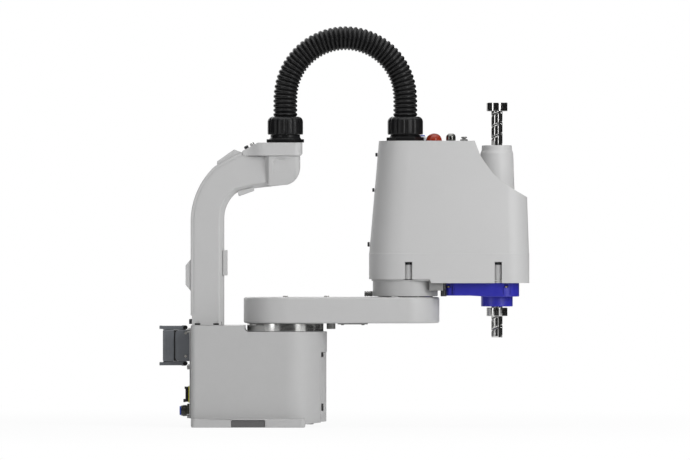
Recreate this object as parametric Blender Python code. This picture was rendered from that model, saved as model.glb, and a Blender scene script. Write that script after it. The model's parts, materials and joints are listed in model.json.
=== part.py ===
"""A small table-top SCARA robot: base, two horizontal arms, and a vertical ball-screw spline shaft.

Metres, +Z up. The origin is where the first joint's axis meets the base's mounting face,
+X points along the stretched arm and the cable bracket stands at -X.
"""
import math

import bmesh
import bpy
from mathutils import Vector

# General fits
SEAT = 0.0003              # gap between two pieces that are bolted or pressed together
RUN = 0.0005               # gap of a turning or sliding fit
THROUGH = 0.001            # how far a cutter reaches past the face it opens
CHAMFER = 0.001            # broken edges of turned pieces
MOULD_EDGE = 0.0015        # rounding of small moulded and cast pieces

# Reach and heights of the arm
ARM_1_LENGTH = 0.170
ARM_2_LENGTH = 0.130
BASE_HEIGHT = 0.1346       # mounting face to the seat of the first joint's ring
BASE_STEP = 0.0089         # how much the deck behind the ring is higher than the seat
J1_RING_HEIGHT = 0.0119
J1_RING_RADIUS = 0.0541
ARM_1_THICKNESS = 0.0369
J2_GAP = 0.0012            # the dark line between the two arms
ARM_2_HUB_HEIGHT = 0.0214
ARM_2_PLATE_THICKNESS = 0.007

# Base
BASE_HALF_WIDTH = 0.059    # also the radius of the rounded front
BASE_REAR = 0.133          # first axis to the rear face
BASE_WALL = 0.006
BASE_CORNER = 0.008
BASE_EDGE = 0.0018         # rounding of the casting's outer edges
DECK_THICKNESS = 0.009
STEP_BACK = 0.057          # first axis to the step of the deck
STEP_FILLET = 0.005
NOSE_LIFT = 0.0042         # the underside ahead of the foot is off the bench
NOSE_LIFT_FRONT = 0.0070
FOOT_HEIGHT = 0.012
FOOT_HALF_WIDTH = 0.077
FOOT_FRONT = 0.0237
FOOT_REAR = 0.132
FOOT_CORNER = 0.012
FOOT_FLOOR = 0.008
FOOT_HOLE_RADIUS = 0.0045
FOOT_HOLE_SIDE_MARGIN = 0.009
FOOT_HOLE_REAR_MARGIN = 0.0140
FOOT_HOLE_FRONT_MARGIN = 0.0157
FOOT_CAP_REAR = 0.076
FOOT_CAP_LENGTH = 0.048
FOOT_CAP_HEIGHT = 0.0105
FOOT_CAP_DEPTH = 0.003
FOOT_CAP_CORNER = 0.002
FOOT_CAP_SINK = 0.0015     # side of the foot to the cap's face
REAR_WINDOW_HALF_WIDTH = 0.042
REAR_WINDOW_DROP = 0.0235   # deck to the top of the opening behind the rear panel
REAR_PANEL_HALF_WIDTH = 0.051
REAR_PANEL_THICKNESS = 0.0015
REAR_PANEL_TOP_MARGIN = 0.004
REAR_PANEL_CORNER = 0.003
FRONT_COVER_BACK = 0.0503  # first axis to the flat that the front cover closes
FRONT_COVER_BOTTOM = 0.0072
FRONT_COVER_DROP = 0.0291  # seat of the first joint's ring to the top of the front cover
FRONT_COVER_RADIUS = 0.0582
FRONT_COVER_WALL = 0.0025
FRONT_WINDOW_HALF_WIDTH = 0.022
FRONT_WINDOW_MARGIN = 0.008

# First joint inside the base
J1_REDUCER_RADIUS = 0.045
J1_REDUCER_HEIGHT = 0.036
J1_REDUCER_RIM = 0.0495
J1_REDUCER_RIM_HEIGHT = 0.005
J1_MOTOR_SIZE = 0.056
J1_MOTOR_LENGTH = 0.078
J1_MOTOR_CAP = 0.010
J1_RING_BORE = 0.020

# Power connector on the rear panel
CONNECTOR_DROP = 0.0509    # deck to the underside of the connector
CONNECTOR_HEIGHT = 0.0442
CONNECTOR_HALF_WIDTH = 0.017
CONNECTOR_HOUSING_DEPTH = 0.0217
CONNECTOR_CORNER = 0.007
HOOD_DEPTH = 0.0175
HOOD_HALF_WIDTH = 0.0165
HOOD_INSET = 0.0008        # the hood is a little shorter than the housing
HOOD_MOUTH_WALL = 0.0035
HOOD_CORNER = 0.004
LEVER_THICKNESS = 0.0062
LEVER_HALF_WIDTH = 0.0115
LEVER_EDGE = 0.0008
LEVER_HOOK = 0.0032
LEVER_HOOK_DROP = 0.0040
LEVER_PIVOT_BACK = 0.0065  # rear panel to the lever's pivot

# Signal connector and air inlet on the rear panel
SIGNAL_HEIGHT = 0.0457     # mounting face to its middle
SIGNAL_LENGTH = 0.024
SIGNAL_WIDTH = 0.018
SIGNAL_DEPTH = 0.0069
SIGNAL_CORNER = 0.003
SIGNAL_SOCKET_WALLS = (0.0045, 0.0048)
INLET_HEIGHT = 0.0225
INLET_SIDE = 0.0
INLET_RADIUS = 0.0081
INLET_LENGTH = 0.0147
INLET_FLANGE_RADIUS = 0.0098
INLET_FLANGE_LENGTH = 0.0040
INLET_BORE = 0.0030

# Cable duct: a column behind the arm and a bracket that reaches over the first axis
DUCT_REAR = 0.1338
DUCT_FRONT = 0.0866
DUCT_WALL = 0.003
DUCT_HALF_WIDTH = 0.019
DUCT_HEAD_HALF_WIDTH = 0.0285
DUCT_EDGE = 0.0022
DUCT_HEAD_TOP = 0.2395     # deck to the underside of the lid
DUCT_BEND_CENTRE = 0.1465  # deck to the centre of the outer bend
DUCT_BEND_FORWARD = 0.1078 # rear face to the centre of the outer bend
DUCT_BEND_ANGLE = 133.0
DUCT_INNER_BEND_CENTRE = 0.1511
DUCT_INNER_BEND_RADIUS = 0.0468
DUCT_INNER_BEND_ANGLE = 128.0
DUCT_SLOPE_END = (-0.0610, 0.2455)
DUCT_TONGUE_END = -0.0520
DUCT_UNDERSIDE = ((-0.0450, 0.1937), (-0.0040, 0.1984))
DUCT_NOSE = 0.0211
DUCT_NOSE_ARC = (0.0230, 0.0262)
DUCT_FLARE = (-0.0290, -0.0235)
DUCT_HEAD_CORNER = 0.012
DUCT_PAD_HALF_WIDTH = 0.012
DUCT_PAD_SINK = 0.0015
# Raised pads over the duct's seam, each along a straight side of the duct: where it starts and ends,
# how proud it stands there, and how far its ends lean in
COLUMN_REAR_PAD = (0.0466, 0.0948, 0.0072, 0.0072, 0.0103, 0.0103)
COLUMN_FRONT_PAD = (0.0702, 0.1062, 0.0046, 0.0046, 0.0, 0.0)
SLOPE_PAD = (0.0025, 0.0437, 0.0045, 0.0083, 0.0034, 0.0087)
UNDERSIDE_PAD = (0.0015, 0.0245, 0.0060, 0.0035, 0.0, 0.0)
HEAD_PANEL = (-0.0215, 0.0100)
HEAD_PANEL_BOTTOM = 0.0340 # lid to the lower edge of the head's side panel
HEAD_PANEL_DEPTH = 0.0012
LID_HEIGHT = 0.0186
LID_OVERHANG = 0.0031
LID_BORE = 0.014
LID_SLOPE_RUN = 0.0150     # rear edge of the lid to the top of its slope
LID_LIP = (0.0008, 0.0012)
COLUMN_NOTCH_DEPTH = 0.0018 # the column's rear foot is set back for its screws
COLUMN_NOTCH_HEIGHT = 0.0150
COLUMN_SCREW_RADIUS = 0.0036
COLUMN_SCREW_LENGTH = 0.0038
COLUMN_SCREW_HEIGHT = 0.0053
COLUMN_SCREW_SIDE = 0.013

# Conduit and its two glands
CONDUIT_RADIUS = 0.0170
CONDUIT_STRAIGHT = 0.140   # share of the length that is straight at each end
CONDUIT_EASE = 0.05
CONDUIT_RINGS = 59
CONDUIT_RING_DEPTH = 0.0020 # crest to valley
CONDUIT_SIDES = 12
GLAND_FLANGE_RADIUS = 0.0267 # to a corner of the hexagon
GLAND_FLANGE_HEIGHT = 0.0036
GLAND_FLANGE_SIDES = 6
GLAND_CONE_RADIUS = 0.0226
GLAND_CONE_HEIGHT = 0.0030
GLAND_NECK_RADIUS = 0.0210
GLAND_HEIGHT = 0.0113      # foot of the flange to the foot of the nut on the duct
GLAND_BORE = 0.0140
GLAND_NUT_RADIUS = 0.0252
GLAND_NUT_HEIGHT = 0.0255
GLAND_NUT_RIBS = 12
GLAND_NUT_RIB_DEPTH = 0.0009
GLAND_NUT_SHOULDER = 0.0062 # how far the nut's top corner is rounded
GLAND_NUT_SHOULDER_BULGE = (0.3, 0.65)  # shares of the shoulder inwards and upwards at its middle

# First arm
ARM_1_REAR_RADIUS = 0.0589
ARM_1_FRONT_RADIUS = 0.0483
ARM_1_EDGE = 0.0030
ARM_1_POCKET = (0.074, 0.112)
ARM_1_POCKET_HALF_WIDTH = 0.036
ARM_1_POCKET_DEPTH = 0.030
ARM_1_POCKET_CORNER = 0.008
BOTTOM_COVER_THICKNESS = 0.0013
BOTTOM_COVER_LAP = 0.005
STOP_BOLT_X = 0.0648
STOP_BOLT_RADIUS = 0.00625
STOP_BOLT_LENGTH = 0.0082
STOP_BOLT_SOCKET = 0.0030
STOP_BOLT_SOCKET_DEPTH = 0.004
ARM_SCREW_PLACES = (0.0, 0.0585)
ARM_SCREW_RADIUS = 0.0036
ARM_SCREW_HEIGHT = 0.0018
J2_REDUCER_RADIUS = 0.0390
J2_REDUCER_HEIGHT = 0.0255

# Second arm
HUB_RADIUS = 0.0460
HUB_BORE = 0.010
PLATE_MARGIN = 0.0006
DROP_BLOCK = (0.0330, 0.0530)
DROP_BLOCK_HALF_WIDTH = 0.033
DROP_BLOCK_DEPTH = 0.0134
REAR_STOP_X = -0.0579      # second axis to the head of the stop bolt
REAR_STOP_HEAD = 0.0058
REAR_STOP_RADIUS = 0.0031
REAR_STOP_SHANK = 0.0023
REAR_STOP_HEIGHT = 0.0034  # underside of the hub to the bolt's axis
STOP_PIN_X = 0.0538
STOP_PIN_Y = -0.0378
STOP_PIN_RADIUS = 0.0042

# Second arm's cover
COVER_TOP = 0.2198         # underside of the hub to the top
COVER_LIP = 0.0230         # underside of the hub to the cover's rear lower edge
COVER_FRONT_LIP = 0.0174
COVER_LIP_STEP = 0.0345    # second axis to the step in the lower edge
COVER_DRAFT_START = 0.0607
COVER_HALF_WIDTH = 0.0500
COVER_TOP_HALF_WIDTH = 0.0440
COVER_REAR = 0.0514
COVER_TOP_REAR = 0.0375
COVER_NOSE = 0.0467        # shaft axis to the front at the lower edge
COVER_TOP_NOSE = 0.0436
COVER_NOSE_CORNER = 0.033
COVER_WALL = 0.003
COVER_EDGE = 0.0015
COVER_TOP_END = 0.0320     # from the shaft axis back to the end of the flat top
COVER_SCOOP = ((-0.0234, 0.1986), (-0.0119, 0.1813), (0.0011, 0.1667), (0.0222, 0.1519))
COVER_SHOULDER = 0.1400    # underside of the hub to the upper corner of the nose
SLOT_PLACES = ((0.0, 0.0044), (1.0, 0.0010))
SLOT_WIDTH = 0.0102
SLOT_TOP = 0.0478
SLOT_DEPTH = 0.0065
SLOT_WALL = 0.0024
COVER_STEP_SLANT = 0.0015
TUBE_TOP = 0.2150
TUBE_FOOT = 0.1150
TUBE_STEP = 0.2024
TUBE_RADII = (0.0262, 0.0236, 0.0218, 0.0216)
TUBE_BORE = 0.0175
COVER_SCREW_HEIGHTS = (0.0734, 0.1504, 0.2004)
COVER_SCREW_RADII = (0.0034, 0.0027, 0.0027)
COVER_SCREW_LENGTH = 0.0030

# Lower cover in front
LOWER_COVER_BACK = 0.0733  # shaft axis back to its rear edge
LOWER_COVER_FRONT = 0.0312
LOWER_COVER_HALF_WIDTH = 0.0350
LOWER_COVER_CORNER = 0.010
LOWER_COVER_NOSE_CORNER = 0.024
LOWER_COVER_DEPTH = 0.0217
LOWER_COVER_WALL = 0.0025
BOSS_RADIUS = 0.0225
BOSS_HEIGHT = 0.0140

# Drives of the shaft
MOTOR_BACK = 0.060         # shaft axis to the axes of the two small motors
MOTOR_SIDE = 0.021
MOTOR_SIZE = 0.034
MOTOR_LENGTH = 0.062
J2_MOTOR_SIZE = 0.050
J2_MOTOR_LENGTH = 0.082
MOTOR_CORNER = 0.12        # cut corner, as a share of a motor's width
MOTOR_CAP = 0.3            # encoder cap, as a share of a motor's length
MOTOR_CAP_RADIUS = 0.9     # its radius, as a share of half the motor's width
MOTOR_PLUG = (0.4, 0.5, 0.12)  # plug housing, as shares of half the width and of the length
MOTOR_CLEARANCE = 0.003    # between a motor and the plate beside it
MOTOR_SHAFT_RADIUS = 0.004
MOTOR_PULLEY_RADIUS = 0.009
NUT_PULLEY_RADIUS = 0.020
PULLEY_WIDTH = 0.011
LOW_PULLEY_DROP = 0.0175   # top of the lower cover to the underside of the lower pulleys
HIGH_PULLEY_LIFT = 0.010   # top of the arm's plate to the underside of the upper pulleys
SCREW_NUT_LIFT = 0.006     # top of the arm's plate to the foot of the ball screw nut
SCREW_NUT_PROUD = 0.012    # how far it stands out of the motor plate
SPLINE_NUT_INSET = 0.001   # foot of the lower cover's boss to the foot of the spline nut
SPLINE_NUT_PROUD = 0.003
BELT_THICKNESS = 0.0014
BELT_WIDTH = 0.009
NUT_RADIUS = 0.0150
BEARING_RADIUS = 0.0215
BEARING_WIDTH = 0.007
MOTOR_PLATE_HEIGHT = 0.027 # top of the arm's plate to the underside of the motor plate
MOTOR_PLATE_THICKNESS = 0.006
MOTOR_PLATE_BACK = 0.082
MOTOR_PLATE_FRONT = 0.026
MOTOR_PLATE_HALF_WIDTH = 0.036
MOTOR_PLATE_LEG = 0.004
BRAKE_RADIUS = 0.0160
BRAKE_HEIGHT = 0.0140

# Shaft
SHAFT_RADIUS = 0.0080
SHAFT_BORE = 0.0055
SHAFT_BELOW = 0.0585       # underside of the hub to the lower end
SHAFT_ABOVE = 0.2742
SHAFT_GROOVES = 3
SHAFT_GROOVE_RADIUS = 0.0016
SHAFT_GROOVE_DEPTH = 0.7   # as a share of the groove's radius
COLLAR_RADIUS = 0.0150
COLLAR_HEIGHT = 0.0121
COLLAR_EDGE = 0.0008
LOWER_COLLAR_DROP = 0.0284 # underside of the hub to the underside of the lower collar

# Fittings on the cover's top, given from the second axis
LAMP_X = 0.0404
LAMP_RADIUS = 0.0114
LAMP_BASE_HEIGHT = 0.0022
LAMP_DOME_HEIGHT = 0.0080
FITTING_X = 0.0645
FITTING_RADIUS = 0.0069
FITTING_HEIGHT = 0.0102
FITTING_BORE = 0.0019
WHITE_FITTING = (0.0237, 0.0255)
WHITE_FITTING_RADIUS = 0.0070
WHITE_FITTING_HEIGHT = 0.0084
BUTTON_X = 0.0832
BUTTON_RADIUS = 0.0042
BUTTON_CAP_HEIGHT = 0.0022
BUTTON_TRAVEL = 0.0012
BUTTON_BEZEL_RADIUS = 0.0056
BUTTON_BEZEL_HEIGHT = 0.0022
BUTTON_STEM_RADIUS = 0.0026

# Levels and places worked out from the sizes above
J2_X = ARM_1_LENGTH
SHAFT_X = ARM_1_LENGTH + ARM_2_LENGTH
DECK_Z = BASE_HEIGHT + BASE_STEP
FRONT_COVER_TOP = BASE_HEIGHT - FRONT_COVER_DROP
CONNECTOR_BOTTOM = DECK_Z - CONNECTOR_DROP
ARM_1_Z = BASE_HEIGHT + J1_RING_HEIGHT
ARM_1_TOP = ARM_1_Z + ARM_1_THICKNESS
ARM_2_Z = ARM_1_TOP + J2_GAP
PLATE_Z = ARM_2_Z + ARM_2_HUB_HEIGHT
PLATE_TOP = PLATE_Z + ARM_2_PLATE_THICKNESS
COVER_TOP_Z = ARM_2_Z + COVER_TOP
MOTOR_PLATE_Z = PLATE_TOP + MOTOR_PLATE_HEIGHT
DUCT_HEAD_Z = DECK_Z + DUCT_HEAD_TOP
LID_TOP = DUCT_HEAD_Z + SEAT + LID_HEIGHT
NUT_FOOT_Z = LID_TOP + SEAT + GLAND_HEIGHT
REAR_PANEL_X = -BASE_REAR - SEAT - REAR_PANEL_THICKNESS
LOW_PULLEY_Z = PLATE_Z - LOW_PULLEY_DROP
HIGH_PULLEY_Z = PLATE_TOP + HIGH_PULLEY_LIFT
LIFT_MOTOR_PLACE = (SHAFT_X - MOTOR_BACK, -MOTOR_SIDE)
TURN_MOTOR_PLACE = (SHAFT_X - MOTOR_BACK, MOTOR_SIDE)


def clear_scene():
    """Start from an empty scene."""
    for thing in list(bpy.data.objects):
        bpy.data.objects.remove(thing)


def make_material(name, colour, roughness, metallic=0.0):
    """A plain surface: colour, roughness and metallic value."""
    material = bpy.data.materials.new(name)
    material.use_nodes = True
    shader = material.node_tree.nodes["Principled BSDF"]
    shader.inputs["Base Color"].default_value = (*colour, 1.0)
    shader.inputs["Roughness"].default_value = roughness
    shader.inputs["Metallic"].default_value = metallic
    material.diffuse_color = (*colour, 1.0)
    return material


def make_axis(name, place, parent=None):
    """An empty on a joint's axis, which carries the pieces that move with the joint."""
    empty = bpy.data.objects.new(name, None)
    bpy.context.scene.collection.objects.link(empty)
    empty["place"] = place
    if parent is not None:
        empty.parent = parent
    empty.location = Vector(place) - carried_from(parent)
    return empty


def carried_from(parent):
    """Where a parent empty stands in the world."""
    return Vector(parent["place"]) if parent is not None else Vector((0, 0, 0))


def add_piece(name, mesh_build, material=None, parent=None, at=(0, 0, 0)):
    """Turn a finished bmesh into an object that stands at a place given in world coordinates."""
    bmesh.ops.recalc_face_normals(mesh_build, faces=mesh_build.faces)
    mesh = bpy.data.meshes.new(name)
    mesh_build.to_mesh(mesh)
    mesh_build.free()
    mesh.shade_smooth()
    mesh.set_sharp_from_angle(angle=math.radians(35))
    piece = bpy.data.objects.new(name, mesh)
    bpy.context.scene.collection.objects.link(piece)
    if parent is not None:
        piece.parent = parent
    piece.location = Vector(at) - carried_from(parent)
    if material is None:
        piece.hide_render = True
        piece.display_type = "WIRE"
    else:
        mesh.materials.append(material)
    return piece


def arc(centre, radius, start, end, steps):
    """Points on an arc from one angle to another, in degrees. The radius may be a pair."""
    rx, ry = radius if isinstance(radius, tuple) else (radius, radius)
    angles = [math.radians(start + (end - start) * i / steps) for i in range(steps + 1)]
    return [(centre[0] + rx * math.cos(a), centre[1] + ry * math.sin(a)) for a in angles]


def rounded_box(x0, x1, y0, y1, corner, steps=4):
    """A rectangle with rounded corners. The corner may be a pair, for the x0 side and the x1 side."""
    low, high = corner if isinstance(corner, tuple) else (corner, corner)
    return (
        arc((x0 + low, y0 + low), low, 180, 270, steps)
        + arc((x1 - high, y0 + high), high, 270, 360, steps)
        + arc((x1 - high, y1 - high), high, 0, 90, steps)
        + arc((x0 + low, y1 - low), low, 90, 180, steps)
    )


def prism(outline, low, high, upright="Z"):
    """Extrude an outline between two levels: XY along Z, XZ along Y, or YZ along X."""
    build = bmesh.new()
    rings = [[build.verts.new(stand(p, level, upright)) for p in outline] for level in (low, high)]
    build.faces.new(rings[0])
    build.faces.new(rings[1])
    join_rings(build, rings[0], rings[1])
    return build


def stand(point, level, upright):
    """Put an outline's point at a level of the extrusion."""
    if upright == "Z":
        return (point[0], point[1], level)
    if upright == "Y":
        return (point[0], level, point[1])
    return (level, point[0], point[1])


def join_rings(build, first, second):
    """Faces between two rings of the same length."""
    for i in range(len(first)):
        j = (i + 1) % len(first)
        build.faces.new((first[i], first[j], second[j], second[i]))


def box(x0, x1, y0, y1, z0, z1):
    """A plain block, used to cut or to join."""
    return prism([(x0, y0), (x1, y0), (x1, y1), (x0, y1)], z0, z1)


def loft(sections):
    """Join outlines of equal length, each given with its level."""
    build = bmesh.new()
    rings = [[build.verts.new((p[0], p[1], level)) for p in outline] for outline, level in sections]
    build.faces.new(rings[0])
    build.faces.new(rings[-1])
    for first, second in zip(rings, rings[1:]):
        join_rings(build, first, second)
    return build


def turned(profile, steps=24, along="Z"):
    """Turn a profile of (radius, height) about the origin. It closes on itself or on the axis."""
    build = bmesh.new()
    angles = [2 * math.pi * i / steps for i in range(steps)]
    rings = [
        [build.verts.new(turned_point(radius, a, height, along)) for a in angles]
        for radius, height in profile
        if radius > 0
    ]
    for first, second in zip(rings, rings[1:]):
        join_rings(build, first, second)
    if profile[0][0] > 0:
        join_rings(build, rings[-1], rings[0])
    else:
        build.faces.new(rings[0])
        build.faces.new(rings[-1])
    return build


def turned_point(radius, angle, height, along):
    """A point of a turned piece whose axis is Z or X."""
    side, up = radius * math.cos(angle), radius * math.sin(angle)
    return (side, up, height) if along == "Z" else (height, side, up)


def combine(piece, other, operation):
    """Cut with another mesh, join it, or keep what both share."""
    modifier = piece.modifiers.new(other.name, "BOOLEAN")
    modifier.operation = operation
    modifier.object = other


def cut(piece, build, at=(0, 0, 0)):
    """Cut a shape out of a piece."""
    combine(piece, add_piece(piece.name + "_cut", build, at=at), "DIFFERENCE")


def join(piece, build, at=(0, 0, 0)):
    """Make a shape part of a piece."""
    combine(piece, add_piece(piece.name + "_join", build, at=at), "UNION")


def keep_inside(piece, build, at=(0, 0, 0)):
    """Keep only what lies inside a shape."""
    combine(piece, add_piece(piece.name + "_keep", build, at=at), "INTERSECT")


def round_edges(piece, width, segments=2, angle=40):
    """Round the edges that are sharper than an angle."""
    modifier = piece.modifiers.new("edges", "BEVEL")
    modifier.width = width
    modifier.segments = segments
    modifier.limit_method = "ANGLE"
    modifier.angle_limit = math.radians(angle)


def base_plan(inset):
    """The base seen from above: square at the rear, round at the front."""
    half = BASE_HALF_WIDTH - inset
    rear = -BASE_REAR + inset
    corner = BASE_CORNER
    return (
        arc((0, 0), half, -90, 90, 24)
        + arc((rear + corner, half - corner), corner, 90, 180, 4)
        + arc((rear + corner, -half + corner), corner, 180, 270, 4)
    )


def base_side():
    """The base's body seen from the side, with the step of its deck."""
    front = BASE_HALF_WIDTH + THROUGH
    fillet = STEP_FILLET
    return (
        [(-BASE_REAR - THROUGH, 0), (FOOT_FRONT - BASE_EDGE, 0), (FOOT_FRONT, NOSE_LIFT)]
        + [(front, NOSE_LIFT_FRONT), (front, BASE_HEIGHT)]
        + arc((-STEP_BACK + fillet, BASE_HEIGHT + fillet), fillet, 270, 200, 3)
        + arc((-STEP_BACK - BASE_EDGE, DECK_Z - BASE_EDGE), BASE_EDGE, 0, 90, 2)
        + [(-BASE_REAR - THROUGH, DECK_Z)]
    )


def make_base(parent, paint, dark):
    """The hollow base casting with its foot, covers and the caps in the foot's sides."""
    reach = BASE_HALF_WIDTH + THROUGH
    casting = add_piece("base_casting", prism(base_side(), -reach, reach, "Y"), paint, parent)
    keep_inside(casting, prism(base_plan(0), -THROUGH, DECK_Z + THROUGH))
    round_edges(casting, BASE_EDGE)
    foot = rounded_box(-FOOT_REAR, FOOT_FRONT, -FOOT_HALF_WIDTH, FOOT_HALF_WIDTH, FOOT_CORNER)
    join(casting, prism(foot, 0, FOOT_HEIGHT))
    cut(casting, prism(base_plan(BASE_WALL), FOOT_FLOOR, BASE_HEIGHT - DECK_THICKNESS))
    cut(casting, turned(reducer_pocket()), (0, 0, BASE_HEIGHT))
    cut(
        casting,
        box(-BASE_REAR - THROUGH, -BASE_REAR + BASE_WALL + THROUGH, -REAR_WINDOW_HALF_WIDTH,
            REAR_WINDOW_HALF_WIDTH, FOOT_HEIGHT, DECK_Z - REAR_WINDOW_DROP),
    )
    cut(
        casting,
        box(FRONT_COVER_BACK, reach, -BASE_HALF_WIDTH, BASE_HALF_WIDTH, -THROUGH, FRONT_COVER_TOP),
    )
    cut(
        casting,
        box(FRONT_COVER_BACK - BASE_WALL, reach, -FRONT_WINDOW_HALF_WIDTH, FRONT_WINDOW_HALF_WIDTH,
            FOOT_HEIGHT + FRONT_WINDOW_MARGIN, FRONT_COVER_TOP - FRONT_WINDOW_MARGIN),
    )
    inner = DUCT_WALL + THROUGH
    cut(
        casting,
        box(-DUCT_REAR + inner + BASE_WALL, -DUCT_FRONT - inner, -DUCT_HALF_WIDTH + inner,
            DUCT_HALF_WIDTH - inner, BASE_HEIGHT - DECK_THICKNESS - THROUGH, DECK_Z + THROUGH),
    )
    for place in foot_hole_places():
        cut(casting, turned(rod(FOOT_HOLE_RADIUS, -THROUGH, FOOT_HEIGHT + THROUGH), 16), (*place, 0))
    for side, word in ((-1, "left"), (1, "right")):
        outer = side * (FOOT_HALF_WIDTH + THROUGH)
        deep = side * (FOOT_HALF_WIDTH - FOOT_CAP_DEPTH)
        cut(casting, prism(foot_cap_outline(0), min(outer, deep), max(outer, deep), "Y"))
        inner_face = side * (FOOT_HALF_WIDTH - FOOT_CAP_DEPTH + SEAT)
        outer_face = side * (FOOT_HALF_WIDTH - FOOT_CAP_SINK)
        cap = prism(foot_cap_outline(SEAT), min(inner_face, outer_face), max(inner_face, outer_face), "Y")
        add_piece("foot_cap_" + word, cap, dark, parent)
    make_front_cover(parent, paint)
    panel = rounded_box(
        -REAR_PANEL_HALF_WIDTH, REAR_PANEL_HALF_WIDTH, FOOT_HEIGHT + SEAT,
        DECK_Z - REAR_PANEL_TOP_MARGIN, REAR_PANEL_CORNER, 2,
    )
    add_piece("base_rear_panel", prism(panel, REAR_PANEL_X, -BASE_REAR - SEAT, "X"), paint, parent)


def foot_hole_places():
    """The four bolt holes of the foot."""
    rear, front = -FOOT_REAR + FOOT_HOLE_REAR_MARGIN, FOOT_FRONT - FOOT_HOLE_FRONT_MARGIN
    return [(x, side * (FOOT_HALF_WIDTH - FOOT_HOLE_SIDE_MARGIN)) for x in (rear, front) for side in (-1, 1)]


def foot_cap_outline(gap):
    """The notch in the side of the foot, with rounded upper corners."""
    x0 = -FOOT_CAP_REAR + gap
    x1 = -FOOT_CAP_REAR + FOOT_CAP_LENGTH - gap
    top = FOOT_CAP_HEIGHT - gap
    corner = FOOT_CAP_CORNER
    low = gap if gap else -THROUGH
    return (
        [(x0, low), (x1, low)]
        + arc((x1 - corner, top - corner), corner, 0, 90, 3)
        + arc((x0 + corner, top - corner), corner, 90, 180, 3)
    )


def rod(radius, low, high):
    """The profile of a solid round bar."""
    return [(0, low), (radius, low), (radius, high), (0, high)]


def ring(outer, inner, low, high):
    """The profile of a ring."""
    return [(outer, low), (outer, high), (inner, high), (inner, low)]


def chamfered_ring(outer, inner, low, high, edge):
    """The profile of a ring with both outer edges broken."""
    return [
        (inner, low), (outer - edge, low), (outer, low + edge), (outer, high - edge), (outer - edge, high),
        (inner, high),
    ]


def reducer_pocket():
    """The stepped hole in the deck that the reducer stands in, measured down from the seat."""
    body = J1_REDUCER_RADIUS + SEAT
    rim = J1_REDUCER_RIM + SEAT
    return [
        (0, -J1_REDUCER_HEIGHT - THROUGH), (body, -J1_REDUCER_HEIGHT - THROUGH),
        (body, -J1_REDUCER_RIM_HEIGHT - SEAT), (rim, -J1_REDUCER_RIM_HEIGHT - SEAT),
        (rim, THROUGH), (0, THROUGH),
    ]


def front_cover_outline(radius, back):
    """A slice of the round front."""
    half = math.degrees(math.acos(back / radius))
    return arc((0, 0), radius, -half, half, 16)


def make_front_cover(parent, paint):
    """The service cover that closes the front of the base."""
    outline = front_cover_outline(FRONT_COVER_RADIUS, FRONT_COVER_BACK + SEAT)
    cover = add_piece(
        "base_front_cover", prism(outline, FRONT_COVER_BOTTOM, FRONT_COVER_TOP - SEAT), paint, parent
    )
    hollow = front_cover_outline(FRONT_COVER_RADIUS - FRONT_COVER_WALL, FRONT_COVER_BACK - THROUGH)
    cut(
        cover,
        prism(hollow, FRONT_COVER_BOTTOM + FRONT_COVER_WALL, FRONT_COVER_TOP - FRONT_COVER_WALL - SEAT),
    )


def make_motor(name, size, length, low, at, parent, material, shaft=0.0):
    """A servo motor: a square frame with cut corners, a round encoder cap and a plug housing."""
    half = size / 2
    corner = size * MOTOR_CORNER
    frame = [
        (-half, -half + corner), (-half + corner, -half), (half - corner, -half), (half, -half + corner),
        (half, half - corner), (half - corner, half), (-half + corner, half), (-half, half - corner),
    ]
    top = low + length
    cap_foot = top - length * MOTOR_CAP
    motor = add_piece(name, prism(frame, low, cap_foot), material, parent, at)
    join(motor, turned(rod(half * MOTOR_CAP_RADIUS, cap_foot - THROUGH, top)), at)
    plug_x, plug_y, plug_height = MOTOR_PLUG
    plug = box(-half * plug_x, half * plug_x, -half * plug_y, half * plug_y, top - THROUGH,
               top + length * plug_height)
    join(motor, plug, at)
    if shaft:
        join(motor, turned(rod(MOTOR_SHAFT_RADIUS, low - shaft, low + THROUGH), 12), at)


def make_first_joint(base, arm_1, steel, black):
    """The motor and reducer in the base, and the steel ring that turns with the arm."""
    bottom = BASE_HEIGHT - J1_REDUCER_HEIGHT
    reducer = [
        (0, bottom), (J1_REDUCER_RADIUS, bottom), (J1_REDUCER_RADIUS, BASE_HEIGHT - J1_REDUCER_RIM_HEIGHT),
        (J1_REDUCER_RIM, BASE_HEIGHT - J1_REDUCER_RIM_HEIGHT), (J1_REDUCER_RIM, BASE_HEIGHT),
        (0, BASE_HEIGHT),
    ]
    add_piece("j1_reducer", turned(reducer), steel, base)
    low = bottom - SEAT - J1_MOTOR_LENGTH
    body_low = low + J1_MOTOR_CAP
    half = J1_MOTOR_SIZE / 2
    frame = rounded_box(-half, half, -half, half, J1_MOTOR_SIZE * MOTOR_CORNER, 2)
    motor = add_piece("j1_motor", prism(frame, body_low, bottom - SEAT), black, base)
    join(motor, turned(rod(half * MOTOR_CAP_RADIUS, low, body_low + THROUGH)))
    flange = chamfered_ring(
        J1_RING_RADIUS, J1_RING_BORE, BASE_HEIGHT + SEAT, ARM_1_Z - SEAT, CHAMFER
    )
    add_piece("j1_output_ring", turned(flange, 40), steel, arm_1)


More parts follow.
